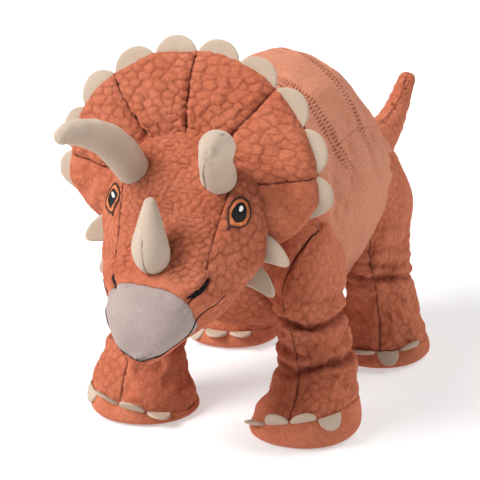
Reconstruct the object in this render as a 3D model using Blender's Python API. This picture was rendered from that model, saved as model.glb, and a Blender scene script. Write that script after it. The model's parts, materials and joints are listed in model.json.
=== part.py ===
"""Stuffed three-horned dinosaur: sewn plush covers over fibre filling, with felt trims and soft flexing joints.

Metres. +Z is up, the snout points to -Y and +X is the animal's left side. The tables below count Y from a
point between the front and the rear legs, and add_object moves everything by TO_MIDDLE, so that the origin
is on the floor under the middle of the bounding box. Every cover is a sewn shell of plush fabric, and every
filling is a solid. Blender 4.5: blender --background --python part.py
"""

import math

import bmesh
import bpy
import numpy as np

# ---------------------------------------------------------------- driving dimensions
FABRIC = 0.0022  # plush cover with its pile
FELT = 0.0024  # horn-coloured felt trims
GAP = 0.0006  # clearance between touching pieces
SEAM_GAP = 0.0007  # between two covers that are sewn edge to edge
FILL_GAP = 0.0014  # between a cover and its filling
THREAD = 0.0011  # thickness of an embroidered patch
HIP_PLANE = 0.0360  # |x| of the plane in which a leg turns against the body
TO_MIDDLE = (0.0, -0.0112, 0.0)  # from the tables' zero to the middle of the bounding box

NECK_PIVOT = (0.0, -0.121, 0.142)
NECK_BALL = 0.034
TAIL_PIVOT = (0.0, 0.105, 0.134)
TAIL_BALL = 0.0305
FRONT_HIP = (-0.078, 0.092)
FRONT_THIGH = 0.0445
REAR_HIP = (0.062, 0.101)
REAR_THIGH = 0.050

COLOURS = {
    "plush": ((0.56, 0.165, 0.075), 0.92),
    "back_plush": ((0.58, 0.20, 0.11), 0.9),
    "velour": ((0.62, 0.56, 0.48), 0.85),
    "felt": ((0.60, 0.52, 0.42), 0.95),
    "beak_plush": ((0.42, 0.37, 0.35), 0.92),
    "thread": ((0.03, 0.018, 0.018), 0.6),
    "filling": ((0.9, 0.9, 0.88), 1.0),
}

# Body rings from the neck to the rump: y and z of the ring's top, y and z of its bottom, half width.
TORSO = [
    (-0.113, 0.166, -0.113, 0.112, 0.024),
    (-0.109, 0.182, -0.108, 0.094, 0.038),
    (-0.097, 0.199, -0.095, 0.073, 0.050),
    (-0.078, 0.2127, -0.078, 0.060, 0.057),
    (-0.040, 0.2233, -0.040, 0.052, 0.0636),
    (0.000, 0.2313, 0.000, 0.050, 0.0666),
    (0.0345, 0.2237, 0.0345, 0.0525, 0.0655),
    (0.0634, 0.2065, 0.0634, 0.060, 0.0615),
    (0.0874, 0.1870, 0.0874, 0.072, 0.0550),
    (0.1063, 0.1660, 0.1063, 0.090, 0.0406),
    (0.1152, 0.1439, 0.1152, 0.110, 0.0192),
]
# Head rings from behind the frill to the tip of the beak, in the same terms.
HEAD = [
    (-0.150, 0.214, -0.130, 0.122, 0.0420),
    (-0.163, 0.205, -0.139, 0.110, 0.0515),
    (-0.178, 0.190, -0.151, 0.102, 0.0530),
    (-0.192, 0.173, -0.165, 0.0955, 0.0490),
    (-0.204, 0.157, -0.180, 0.0900, 0.0425),
    (-0.2145, 0.146, -0.194, 0.0850, 0.0355),
    (-0.2235, 0.134, -0.205, 0.0810, 0.0285),
    (-0.2275, 0.118, -0.2125, 0.0785, 0.0215),
    (-0.2275, 0.101, -0.2170, 0.0775, 0.0145),
    (-0.2225, 0.085, -0.2195, 0.0785, 0.0050),
]
# Leg rings below the hip down to the sole seam: z, x and y of the middle, half width, half length.
FRONT_LEG = [
    (0.0800, 0.0560, -0.0800, 0.0190, 0.0410),
    (0.0600, 0.0590, -0.0870, 0.0220, 0.0330),
    (0.0450, 0.0615, -0.0940, 0.0255, 0.0305),
    (0.0320, 0.0610, -0.1000, 0.0295, 0.0330),
    (0.0186, 0.0585, -0.1050, 0.0345, 0.0365),
]
REAR_LEG = [
    (0.0850, 0.0530, 0.0600, 0.0180, 0.0460),
    (0.0640, 0.0540, 0.0600, 0.0195, 0.0370),
    (0.0460, 0.0555, 0.0610, 0.0230, 0.0335),
    (0.0310, 0.0565, 0.0600, 0.0285, 0.0335),
    (0.0186, 0.0570, 0.0595, 0.0325, 0.0345),
]
# The sole below that seam, as shares of the seam's ring: z, share.
SOLE = [(0.0176, 1.0), (0.0120, 1.045), (0.0055, 1.035), (0.0012, 0.93), (0.0, 0.82)]
# Centre lines from root to tip with their radii: x, y, z, radius.
BROW_HORN = [
    (0.0285, -0.1740, 0.1820, 0.0115),
    (0.0325, -0.1850, 0.1965, 0.0122),
    (0.0385, -0.1980, 0.2090, 0.0118),
    (0.0445, -0.2150, 0.2175, 0.0100),
    (0.0485, -0.2300, 0.2220, 0.0080),
    (0.0505, -0.2385, 0.2235, 0.0045),
]
NOSE_HORN = [
    (0.0, -0.2110, 0.1440, 0.0100),
    (0.0, -0.2155, 0.1510, 0.0128),
    (0.0, -0.2175, 0.1590, 0.0122),
    (0.0, -0.2178, 0.1690, 0.0088),
    (0.0, -0.2170, 0.1780, 0.0060),
    (0.0, -0.2165, 0.1835, 0.0032),
]
TAIL = [
    (0.0000, 0.0790, 0.1350, 0.0080),
    (0.0000, 0.0850, 0.1350, 0.0175),
    (0.0000, 0.0990, 0.1345, 0.0255),
    (0.0000, 0.1140, 0.1325, 0.0262),
    (0.0005, 0.1350, 0.1290, 0.0242),
    (0.0015, 0.1580, 0.1245, 0.0205),
    (0.0025, 0.1820, 0.1225, 0.0172),
    (0.0035, 0.2060, 0.1245, 0.0143),
    (0.0045, 0.2280, 0.1325, 0.0112),
    (0.0055, 0.2460, 0.1450, 0.0082),
    (0.0060, 0.2555, 0.1555, 0.0055),
    (0.0062, 0.2585, 0.1600, 0.0030),
]
TAIL_FROM = 0.27
# Neck frill: centre height, rim radius above and beside it, the angles from the top where it ends and tapers.
FRILL_Z = 0.1745
FRILL_TOP, FRILL_SIDE = 0.0855, 0.0900
FRILL_END = 118
FRILL_TAPER = 92
FRILL_ROOT = 0.036
SCALLOP_PITCH = 20.0
SCALLOP_HEIGHT = 0.0100
# Cheek spikes, left side: lower and upper end of the root, tip, and how far the middle bows.
CHEEK_SPIKES = {
    "upper": ((0.0420, -0.1590, 0.1330), (0.0450, -0.1590, 0.1500), (0.0700, -0.1620, 0.1350), (0, 0, 0.0035)),
    "lower": ((0.0360, -0.1590, 0.1170), (0.0420, -0.1590, 0.1310), (0.0600, -0.1620, 0.1130), (0, 0, 0.0035)),
}
# Embroidery, left side: middle, and half length and half width along the cheek.
EYE = ((0.0435, -0.1770, 0.1680), 0.0085, 0.0110)
NOSTRIL = ((0.0345, -0.2056, 0.1320), (0.0255, -0.2180, 0.1235), 0.0018)
MOUTH = [
    (0.0400, -0.1970, 0.1215), (0.0350, -0.2055, 0.1155), (0.0295, -0.2125, 0.1070), (0.0254, -0.2142, 0.0976),
    (0.0191, -0.2186, 0.0903), (0.0094, -0.2205, 0.0826), (0.0, -0.2210, 0.0800),
]
MOUTH_WIDTH = 0.0016
# Head panels: first and last angle round the head, columns, and where each starts and ends along it.
BEAK_FROM = 0.66
HEAD_PANELS = {
    "forehead_panel": (46, 134, 8, 0.0, BEAK_FROM, "plush"),
    "cheek_panel_left": (-18, 46, 6, 0.0, BEAK_FROM, "plush"),
    "cheek_panel_right": (134, 198, 6, 0.0, BEAK_FROM, "plush"),
    "jaw_panel": (198, 342, 10, 0.0, 0.93, "plush"),
    "beak_panel": (-18, 198, 15, BEAK_FROM, 1.0, "beak_plush"),
}
TORSO_PANELS = {
    "back_panel": (30, 150, 13, "back_plush"),
    "body_side_left": (-52, 30, 8, "plush"),
    "body_side_right": (150, 232, 8, "plush"),
    "belly_panel": (232, 308, 6, "plush"),
}


# ---------------------------------------------------------------- curves and surfaces
def smooth(rows, u):
    """Rows read at u from 0 to 1 along a Catmull-Rom curve."""
    rows = np.asarray(rows, float)
    at = min(1.0, max(0.0, u)) * (len(rows) - 1)
    i = min(int(at), len(rows) - 2)
    t = at - i
    ends = np.vstack([2 * rows[0] - rows[1], rows, 2 * rows[-1] - rows[-2]])
    a, b, c, d = ends[i:i + 4]
    return 0.5 * (2 * b + (c - a) * t + (2 * a - 5 * b + 4 * c - d) * t**2 + (3 * b - a - 3 * c + d) * t**3)


def ring(theta, power):
    """Across and up on a unit ring at theta degrees: power 2 is round and more is squarer."""
    turn = math.radians(theta)
    return [math.copysign(abs(wave) ** (2 / power), wave) for wave in (math.cos(turn), math.sin(turn))]


def profile_loft(rows, above=2.2, below=2.2):
    """Surface through rings that stand on a top line and a bottom line in the plane x = 0."""

    def surface(u, theta):
        top_y, top_z, bottom_y, bottom_z, half = smooth(rows, u)
        across, up = ring(theta, above if 0 < theta % 360 < 180 else below)
        share = (1 + up) / 2
        return np.array([half * across, bottom_y + (top_y - bottom_y) * share, bottom_z + (top_z - bottom_z) * share])

    return surface


def thigh_rows(hip, radius, leg_rows):
    """Leg rings with the round top that turns about the hip."""
    x, half = leg_rows[0][1], leg_rows[0][3]
    dome = []
    for angle in (86, 66, 46, 24, 2):
        lift, spread = math.sin(math.radians(angle)), math.cos(math.radians(angle))
        dome.append((hip[1] + radius * lift, x - 0.004 * lift, hip[0], half * spread**0.6, radius * spread))
    return dome + leg_rows


def leg_loft(rows, side, flat=HIP_PLANE):
    """Surface of a leg from hip to sole seam, flat where it lies against the body."""

    def surface(u, theta):
        z, x, y, half, length = smooth(rows, u)
        across, along = ring(theta, 2.1)
        px = max(x + half * across, flat * min(1, max(0, (z - 0.040) / 0.014)))
        return np.array([side * px, y + length * along, z])

    return surface


def sole_loft(rows, side):
    """Surface of a sole from its seam down to the floor."""
    _, x, y, half, length = rows[-1]

    def surface(u, theta):
        z, share = smooth(SOLE, u)
        across, along = ring(theta, 2.1)
        return np.array([side * (x + half * share * across), y + length * share * along, z])

    return surface


def swept_loft(rows, side=1):
    """Surface of a round tapering piece along its own centre line."""

    def surface(u, theta):
        x, y, z, radius = smooth(rows, u)
        ahead = (smooth(rows, u + 0.03) - smooth(rows, u - 0.03))[:3]
        ahead /= np.linalg.norm(ahead)
        across = np.array([1.0, 0, 0]) - ahead * ahead[0]
        across /= np.linalg.norm(across)
        up = np.cross(across, ahead)
        turn = math.radians(theta)
        return (np.array([x, y, z]) + radius * (math.cos(turn) * across + math.sin(turn) * up)) * (side, 1, 1)

    return surface


def offset(surface, depth):
    """The ring surface moved inwards by depth along its own normal."""
    du, dv = 4e-3, 2.0

    def inner(u, v):
        here = surface(u, v)
        a = surface(min(1, u + du), v) - surface(max(0, u - du), v)
        b = surface(u, v + dv) - surface(u, v - dv)
        normal = np.cross(a, b)
        normal /= max(1e-12, np.linalg.norm(normal))
        if normal @ (here - surface(u, v + 180)) < 0:
            normal = -normal
        return here - normal * depth

    return inner


def kept_between(surface, low, high):
    """The surface with its height held between two levels, so that it ends flush at a seam."""

    def held(u, v):
        x, y, z = surface(u, v)
        return np.array([x, y, min(high, max(low, z))])

    return held


def frill_point(share, angle, depth=0.0):
    """Point of the frill: share 0 at its root and 1 at its rim, angle from the top, depth off its middle sheet."""
    turn = math.radians(angle)
    rim = FRILL_TOP + (FRILL_SIDE - FRILL_TOP) * math.sin(turn) ** 2
    rim *= 1 - 0.20 * min(1, max(0, (abs(angle) - FRILL_TAPER) / (FRILL_END - FRILL_TAPER)))
    radius = FRILL_ROOT + (rim - FRILL_ROOT) * share
    y = -0.1515 + share * (0.0155 - 0.012 * math.sin(turn) ** 2) + depth
    return np.array([radius * math.sin(turn), y, FRILL_Z + radius * math.cos(turn)])


def frill_face(side, inset):
    """Front (-1) or back (1) face of the frill's thin pillow, set in by a fabric or a gap."""

    def surface(share, angle):
        half = 0.0044 + 0.0040 * math.sin(math.pi * min(1, max(0, share)) ** 0.9) - inset
        return frill_point(share, angle, side * half)

    return surface


def locate(surface, target, samples=(60, 120)):
    """u and theta of the surface's point nearest to target."""
    u, v = min(
        ((i / samples[0], 360 * j / samples[1]) for i in range(samples[0] + 1) for j in range(samples[1])),
        key=lambda at: np.sum((surface(*at) - target) ** 2),
    )
    du, dv = 0.5 / samples[0], 180 / samples[1]
    for _ in range(24):
        near = [(u + a * du, v + b * dv) for a in (-1, 0, 1) for b in (-1, 0, 1)]
        u, v = min(near, key=lambda at: np.sum((surface(min(1, max(0, at[0])), at[1]) - target) ** 2))
        du, dv = du * 0.75, dv * 0.75
    return min(1, max(0, u)), v


# ---------------------------------------------------------------- solids
def material(name):
    found = bpy.data.materials.get(name)
    if found:
        return found
    made = bpy.data.materials.new(name)
    made.use_nodes = True
    shader = made.node_tree.nodes["Principled BSDF"]
    colour, roughness = COLOURS[name]
    shader.inputs["Base Color"].default_value = (*colour, 1)
    shader.inputs["Roughness"].default_value = roughness
    shader.inputs["Metallic"].default_value = 0.0
    return made


def add_object(name, mesh_data, slot):
    """Links a bmesh as a named object, faces out, measured from the middle of the bounding box."""
    bmesh.ops.translate(mesh_data, verts=mesh_data.verts, vec=TO_MIDDLE)
    bmesh.ops.recalc_face_normals(mesh_data, faces=mesh_data.faces)
    if mesh_data.calc_volume(signed=True) < 0:
        bmesh.ops.reverse_faces(mesh_data, faces=mesh_data.faces)
    mesh = bpy.data.meshes.new(name)
    mesh_data.to_mesh(mesh)
    mesh_data.free()
    mesh.shade_smooth()
    mesh.set_sharp_from_angle(angle=math.radians(50))
    made = bpy.data.objects.new(name, mesh)
    made.data.materials.append(material(slot))
    bpy.context.scene.collection.objects.link(made)
    return made


def spaced(start, end, count):
    return [start + (end - start) * k / count for k in range(count + 1)]


def around(count):
    return [360 * k / count for k in range(count)]


def skin_rows(mesh_data, rows, wrap):
    """Quads between rows of vertices; wrap joins each row's last vertex to its first."""
    columns = len(rows[0])
    for upper, lower in zip(rows, rows[1:]):
        for j in range(columns if wrap else columns - 1):
            k = (j + 1) % columns
            mesh_data.faces.new((upper[j], upper[k], lower[k], lower[j]))


def capped(name, points, slot):
    """Closed solid from rows of points, each row one ring, with a cap at each end."""
    made = bmesh.new()
    rows = [[made.verts.new(p) for p in row] for row in points]
    skin_rows(made, rows, wrap=True)
    made.faces.new(rows[0])
    made.faces.new(rows[-1])
    return add_object(name, made, slot)


def solid(name, surface, us, count, slot):
    return capped(name, [[surface(u, v) for v in around(count)] for u in us], slot)


def shell(name, outer, inner, us, vs, slot, wrap=False, cup_start=False, cup_end=False):
    """Closed wall between two surfaces; a wrapped wall may be closed like a cup at either end."""
    made = bmesh.new()
    outside, inside = ([[made.verts.new(surface(u, v)) for v in vs] for u in us] for surface in (outer, inner))
    for rows in (outside, inside):
        skin_rows(made, rows, wrap)
    for row, closed in ((0, cup_start), (-1, cup_end)):
        if closed:
            made.faces.new(outside[row])
            made.faces.new(inside[row])
        else:
            skin_rows(made, [outside[row], inside[row]], wrap)
    if not wrap:
        for edge in (0, -1):
            skin_rows(made, [[row[edge] for row in outside], [row[edge] for row in inside]], wrap=False)
    return add_object(name, made, slot)


def hidden(helper):
    helper.hide_render = True
    helper.display_type = "WIRE"
    return helper


def cut(target, *cutters):
    for cutter in cutters:
        taken = target.modifiers.new("cut_" + cutter.name, "BOOLEAN")
        taken.operation = "DIFFERENCE"
        taken.solver = "EXACT"
        taken.object = cutter


def ball(name, centre, radius, segments=20):
    made = bmesh.new()
    bmesh.ops.create_uvsphere(made, u_segments=segments, v_segments=segments // 2, radius=radius)
    bmesh.ops.translate(made, verts=made.verts, vec=centre)
    return add_object(name, made, "filling")


def hip_cutter(name, hip, radius, side):
    """Disc that clears the round top of a leg as it turns against the body."""
    near, far = HIP_PLANE - GAP, HIP_PLANE + 0.1
    rows = []
    for x in (near, far):
        rows.append([
            (side * x, hip[0] + radius * math.cos(math.radians(a)), hip[1] + radius * math.sin(math.radians(a)))
            for a in around(36)
        ])
    return hidden(capped(name, rows, "filling"))


# ---------------------------------------------------------------- body and tail
def build_torso(hip_cutters, neck_socket, tail_socket):
    outer = profile_loft(TORSO, above=1.64)
    margin = math.degrees(SEAM_GAP / 2 / 0.05)
    for name, (start, end, count, slot) in TORSO_PANELS.items():
        vs = spaced(start + margin, end - margin, count)
        panel = shell(name, outer, offset(outer, FABRIC), spaced(0, 1, 14), vs, slot)
        cut(panel, neck_socket, tail_socket)
        if name != "back_panel":
            cut(panel, *hip_cutters)
    core = offset(outer, FABRIC + FILL_GAP)
    cut(solid("body_filling", core, spaced(0.02, 0.98, 13), 26, "filling"), *hip_cutters, neck_socket, tail_socket)


def build_tail():
    surface = swept_loft(TAIL)
    shell("tail_cover", surface, offset(surface, FABRIC), spaced(TAIL_FROM, 1, 9), around(16), "plush", wrap=True,
          cup_end=True)
    core = offset(surface, FABRIC + FILL_GAP)
    solid("tail_filling", core, spaced(0, 0.96, 12), 16, "filling")


# ---------------------------------------------------------------- legs
def build_leg(prefix, hip, radius, leg_rows, side, turn):
    rows = thigh_rows(hip, radius, leg_rows)
    upper, lower = leg_loft(rows, side), sole_loft(rows, side)
    seam = rows[-1][0]
    shell(prefix + "_cover", upper, kept_between(offset(upper, FABRIC), seam, 1), spaced(0, 1, 10), around(16),
          "plush", wrap=True, cup_start=True)
    shell(prefix + "_sole", lower, kept_between(offset(lower, FABRIC), 0, SOLE[0][0]), spaced(0, 1, 3), around(16),
          "plush", wrap=True, cup_end=True)
    toenail_strip(prefix + "_toenails", rows[-1], side, turn)
    inside = FABRIC + FILL_GAP
    thigh, foot = offset(upper, inside), offset(lower, inside)
    rings = [[thigh(u, v) for v in around(16)] for u in spaced(0.05, 1, 9)]
    rings += [[foot(u, v) + np.array([0, 0, inside * (u - 0.4)]) for v in around(16)] for u in (0.45, 0.8)]
    capped(prefix + "_filling", rings, "filling")


def toenail_strip(name, seam_ring, side, turn):
    """Four felt nails on one narrow strip in the sole seam; turn points them outwards."""
    z, x, y, half, length = seam_ring
    nails, steps, pitch = 4, 5, 30.0
    rows = []
    for k in range(nails * steps + 1):
        angle = 270 - nails * pitch / 2 + turn + pitch * k / steps
        reach = 0.0008 + 0.0085 * math.sin(math.pi * (k % steps) / steps) ** 0.7
        across, along = ring(angle, 2.1)
        rim = np.array([x + half * across, y + length * along])
        outward = np.array([across, along]) / math.hypot(across, along)
        near, far = rim + outward * GAP, rim + outward * (GAP + reach)
        rows.append([
            (side * p[0], p[1], z - 0.0005 + rise)
            for p, rise in ((near, -FELT / 2), (far, -FELT / 2), (far, FELT / 2), (near, FELT / 2))
        ])
    capped(name, rows, "felt")


# ---------------------------------------------------------------- head
def build_head(neck_socket):
    outer = profile_loft(HEAD)
    margin = math.degrees(SEAM_GAP / 2 / 0.03)
    for name, (start, end, count, first, last, slot) in HEAD_PANELS.items():
        us = spaced(first + (0.012 if first else 0), last, max(5, round(12 * (last - first))))
        panel = shell(name, outer, offset(outer, FABRIC), us, spaced(start + margin, end - margin, count), slot)
        if first == 0:
            cut(panel, neck_socket)
    core = offset(outer, FABRIC + FILL_GAP)
    cut(solid("head_filling", core, spaced(0.01, 0.88, 11), 26, "filling"), neck_socket)
    grown = hidden(head_outline(offset(outer, -2 * GAP)))
    for side, label in ((1, "left"), (-1, "right")):
        mirrored = (side, 1, 1)
        build_horn("brow_horn_" + label, BROW_HORN, side, grown)
        eye, tall, wide = EYE
        patch("eye_" + label, outer, np.array(eye) * mirrored, tall, wide)
        stroke("nostril_" + label, outer, [np.array(p) * mirrored for p in NOSTRIL[:2]], NOSTRIL[2])
        for place, (low, high, tip, bow) in CHEEK_SPIKES.items():
            cut(cheek_spike(f"cheek_spike_{place}_{label}", side, low, high, tip, bow), grown)
    build_horn("nose_horn", NOSE_HORN, 1, grown)
    left_half = [np.array(p) for p in MOUTH]
    stroke("mouth_embroidery", outer, left_half + [p * (-1, 1, 1) for p in left_half[-2::-1]], MOUTH_WIDTH)
    return grown


def head_outline(surface):
    """Solid just larger than the head and a little longer at the back, which trims what is sewn to it."""
    rows = [[surface(u, v) for v in around(36)] for u in spaced(0, 1, 16)]
    behind = [p + np.array([0, 0.005, 0]) for p in rows[0]]
    return capped("head_outline", [behind, *rows], "filling")


def build_horn(prefix, rows, side, outline):
    """A velour cover, open at its root, round its filling."""
    surface = swept_loft(rows, side)
    thin = FABRIC * 0.7
    cover = shell(prefix + "_cover", surface, offset(surface, thin), spaced(0, 1, 6), around(12), "velour",
                  wrap=True, cup_end=True)
    filling = solid(prefix + "_filling", offset(surface, thin + FILL_GAP), spaced(0, 0.9, 5), 12, "filling")
    for piece in (cover, filling):
        cut(piece, outline)


def patch(name, surface, middle, tall, wide):
    """Oval embroidered patch lying on a surface, its length along the surface's rings."""
    low, high = offset(surface, -0.0004), offset(surface, -0.0004 - THREAD)
    u, v = locate(surface, middle)
    along = surface(u + 0.02, v) - surface(u - 0.02, v)
    across = surface(u, v + 4) - surface(u, v - 4)
    du, dv = wide * 0.04 / np.linalg.norm(along), tall * 8 / np.linalg.norm(across)
    rows = []
    for layer, share in ((low, 0.5), (low, 1.0), (high, 1.0), (high, 0.5)):
        rows.append([
            layer(u + share * du * math.cos(math.radians(a)), v + share * dv * math.sin(math.radians(a)))
            for a in around(14)
        ])
    return capped(name, rows, "thread")


def stroke(name, surface, path, width):
    """Embroidered line of one width along a path on a surface."""
    low, high = offset(surface, -0.0004), offset(surface, -0.0004 - THREAD)
    points = [smooth(path, k / 20) for k in range(21)] if len(path) > 2 else [
        path[0] + (path[1] - path[0]) * k / 5 for k in range(6)]
    found = [locate(surface, p) for p in points]
    ends = [found[0], *found, found[-1]]
    rows = []
    for before, (u, v), after in zip(ends, found, ends[2:]):
        along = surface(*after) - surface(*before)
        normal = high(u, v) - low(u, v)
        sideways = np.cross(along, normal)
        sideways *= width / 2 / np.linalg.norm(sideways)
        normal *= 1 / np.linalg.norm(normal)
        base = surface(u, v) + normal * 0.0007
        rows.append([base - sideways, base + sideways, base + sideways + normal * THREAD,
                     base - sideways + normal * THREAD])
    return capped(name, rows, "thread")


def cheek_spike(name, side, low, high, tip, bow):
    """Flat pointed felt piece sewn behind the cheek, bowed towards its tip."""
    low, high, tip, bow = (np.array(p, float) for p in (low, high, tip, bow))
    thin = np.cross(high - low, tip - low)
    thin *= FELT / 2 / np.linalg.norm(thin)
    rows = []
    for k in range(9):
        t = k / 8
        middle = (low + high) / 2 * (1 - t) + tip * t + bow * math.sin(math.pi * t)
        across = (high - low) / 2 * max((1 - t) ** 0.62, 0.12)
        rows.append([(middle + across * s + thin * d) * (side, 1, 1) for s, d in ((-1, -1), (1, -1), (1, 1), (-1, 1))])
    return capped(name, rows, "felt")


# ---------------------------------------------------------------- frill
def build_frill(outline):
    angles = spaced(-FRILL_END, FRILL_END, 24)
    shares = [0, 0.2, 0.45, 0.7, 0.88, 1]
    pieces = [
        shell("frill_front", frill_face(-1, 0), frill_face(-1, FABRIC), shares, angles, "plush"),
        shell("frill_back", frill_face(1, 0), frill_face(1, FABRIC), shares, angles, "plush"),
        shell("frill_filling", frill_face(-1, FABRIC + GAP), frill_face(1, FABRIC + GAP), [0.02, 0.3, 0.6, 0.96],
              spaced(-FRILL_END + 3, FRILL_END - 3, 24), "filling"),
    ]
    for piece in pieces:
        cut(piece, outline)
    for side, label in ((1, "left"), (-1, "right")):
        for k in range(5):
            frill_scallop(f"frill_scallop_{label}_{k + 1}", side * SCALLOP_PITCH * (k + 0.5))


def frill_scallop(name, middle):
    """Half-round felt piece that stands out of the frill's rim."""
    rows = []
    for t in spaced(-1, 1, 10):
        angle = middle + SCALLOP_PITCH * 0.47 * t
        reach = SCALLOP_HEIGHT * max(0.0, 1 - abs(t) ** 2.3) ** 0.6 + 0.0006
        rim, inner = frill_point(1.0, angle), frill_point(0.9, angle)
        outward = (rim - inner) / np.linalg.norm(rim - inner)
        near, far = rim + outward * GAP * 1.5, rim + outward * (GAP * 1.5 + reach)
        thin = np.array([0, FELT / 2, 0])
        rows.append([near - thin, far - thin, far + thin, near + thin])
    return capped(name, rows, "felt")


# ---------------------------------------------------------------- assembly
def main():
    for old in list(bpy.data.objects):
        bpy.data.objects.remove(old)
    hip_cutters = []
    for label, hip, radius in (("front", FRONT_HIP, FRONT_THIGH), ("rear", REAR_HIP, REAR_THIGH)):
        for side in (1, -1):
            hip_cutters.append(hip_cutter(f"hip_cutter_{label}_{side}", hip, radius + 0.0015, side))
    neck_socket = hidden(ball("neck_socket", NECK_PIVOT, NECK_BALL + 0.0012, 24))
    tail_socket = hidden(ball("tail_socket", TAIL_PIVOT, TAIL_BALL, 24))
    build_torso(hip_cutters, neck_socket, tail_socket)
    ball("neck_filling", NECK_PIVOT, NECK_BALL)
    build_frill(build_head(neck_socket))
    for side, label in ((1, "left"), (-1, "right")):
        build_leg("front_leg_" + label, FRONT_HIP, FRONT_THIGH, FRONT_LEG, side, 0)
        build_leg("rear_leg_" + label, REAR_HIP, REAR_THIGH, REAR_LEG, side, 12)
    build_tail()


main()
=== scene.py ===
"""Looks of the stuffed three-horned dinosaur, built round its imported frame.

The surfaces are those of the part's source, read much more finely. Each cover is a patch of such a surface
between two seams. Cloth under pressure rounds it between its stitched edges, then seams, folds, embossed
pebbles and pile are pressed into the mesh. Metres, +Z up, the snout to -Y, +X the animal's left side.
"""

import json
import math

import bpy
import numpy as np
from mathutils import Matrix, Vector
from mathutils.bvhtree import BVHTree
from mathutils.kdtree import KDTree

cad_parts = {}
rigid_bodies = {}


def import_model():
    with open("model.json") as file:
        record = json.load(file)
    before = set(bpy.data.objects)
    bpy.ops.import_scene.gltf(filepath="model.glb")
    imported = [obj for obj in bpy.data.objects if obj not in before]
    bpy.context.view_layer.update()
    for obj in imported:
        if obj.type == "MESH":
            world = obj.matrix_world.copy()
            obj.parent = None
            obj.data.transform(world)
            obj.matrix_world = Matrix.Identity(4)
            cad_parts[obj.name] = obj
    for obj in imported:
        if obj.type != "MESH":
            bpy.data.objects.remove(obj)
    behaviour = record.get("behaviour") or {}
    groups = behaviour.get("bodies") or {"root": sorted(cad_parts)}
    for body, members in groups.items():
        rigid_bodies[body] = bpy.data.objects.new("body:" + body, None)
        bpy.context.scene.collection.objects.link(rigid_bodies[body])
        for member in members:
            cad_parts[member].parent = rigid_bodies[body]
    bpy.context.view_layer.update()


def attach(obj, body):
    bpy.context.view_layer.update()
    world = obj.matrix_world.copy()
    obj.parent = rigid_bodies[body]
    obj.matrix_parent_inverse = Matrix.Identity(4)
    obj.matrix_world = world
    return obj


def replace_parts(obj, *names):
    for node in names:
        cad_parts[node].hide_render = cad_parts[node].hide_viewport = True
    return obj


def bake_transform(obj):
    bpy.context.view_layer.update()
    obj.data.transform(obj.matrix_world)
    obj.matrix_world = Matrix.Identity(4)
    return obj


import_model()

# ---------------------------------------------------------------- camera and design sizes
VIEW_AZIMUTH, VIEW_ELEVATION = 22.64, 16.87  # degrees round from the snout's side, and up
VIEW_TARGET, VIEW_DISTANCE, VIEW_LENS = (-0.0278, -0.0112, 0.0928), 1.8206, 194.6
FINE = 0.00115  # spacing of the mesh on embossed plush
SMOOTH = 0.0016  # and on short velour and felt
SHIFT = np.array([0.0, -0.0112, 0.0])  # from the tables' zero to the middle of the bounding box
FELT = 0.0024
HIP_PLANE = 0.0360
TORSO = [  # y and z of the ring's top, y and z of its bottom, half width
    (-0.113, 0.166, -0.113, 0.112, 0.024),
    (-0.109, 0.182, -0.108, 0.094, 0.038),
    (-0.097, 0.199, -0.095, 0.073, 0.050),
    (-0.078, 0.2127, -0.078, 0.060, 0.057),
    (-0.040, 0.2233, -0.040, 0.052, 0.0636),
    (0.000, 0.2313, 0.000, 0.050, 0.0666),
    (0.0345, 0.2237, 0.0345, 0.0525, 0.0655),
    (0.0634, 0.2065, 0.0634, 0.060, 0.0615),
    (0.0874, 0.1870, 0.0874, 0.072, 0.0550),
    (0.1063, 0.1660, 0.1063, 0.090, 0.0406),
    (0.1152, 0.1439, 0.1152, 0.110, 0.0192),
]
HEAD = [
    (-0.150, 0.214, -0.130, 0.122, 0.0420),
    (-0.163, 0.205, -0.139, 0.110, 0.0515),
    (-0.178, 0.190, -0.151, 0.102, 0.0530),
    (-0.192, 0.173, -0.165, 0.0955, 0.0490),
    (-0.204, 0.157, -0.180, 0.0900, 0.0425),
    (-0.2145, 0.146, -0.194, 0.0850, 0.0355),
    (-0.2235, 0.134, -0.205, 0.0810, 0.0285),
    (-0.2275, 0.118, -0.2125, 0.0785, 0.0215),
    (-0.2275, 0.101, -0.2170, 0.0775, 0.0145),
    (-0.2225, 0.085, -0.2195, 0.0785, 0.0050),
]
FRONT_LEG = [  # z, x and y of the middle, half width, half length
    (0.0800, 0.0560, -0.0800, 0.0190, 0.0410),
    (0.0600, 0.0590, -0.0870, 0.0220, 0.0330),
    (0.0450, 0.0615, -0.0940, 0.0255, 0.0305),
    (0.0320, 0.0610, -0.1000, 0.0295, 0.0330),
    (0.0186, 0.0585, -0.1050, 0.0345, 0.0365),
]
REAR_LEG = [
    (0.0850, 0.0530, 0.0600, 0.0180, 0.0460),
    (0.0640, 0.0540, 0.0600, 0.0195, 0.0370),
    (0.0460, 0.0555, 0.0610, 0.0230, 0.0335),
    (0.0310, 0.0565, 0.0600, 0.0285, 0.0335),
    (0.0186, 0.0570, 0.0595, 0.0325, 0.0345),
]
SOLE = [(0.0186, 1.0), (0.0120, 1.045), (0.0055, 1.035), (0.0012, 0.93), (0.0, 0.82)]
LEGS = {  # hip y and z, thigh radius, rings, seam angles, creases, nails' turn and how each nail tilts
    "front": ((-0.078, 0.092), 0.0445, FRONT_LEG, "FRONT", 4, (4, 50, 42, -62)),
    "rear": ((0.062, 0.101), 0.0500, REAR_LEG, "REAR", 14, (8, 2, -58, 36)),
}
BACK_SEAM = 95
# Where the seam down a leg's front runs, at u from hip to sole: the front one starts as a shoulder seam.
FRONT_SEAM = {
    "FRONT": ((0, 0.10, 0.14, 0.245, 0.34, 0.42, 0.48, 0.55, 1),
              (372, 348, 312, 281, 266, 254, 261, 268, 272)),
    "REAR": ((0, 0.45, 0.65, 1), (304, 303, 299, 288)),
}
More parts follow.
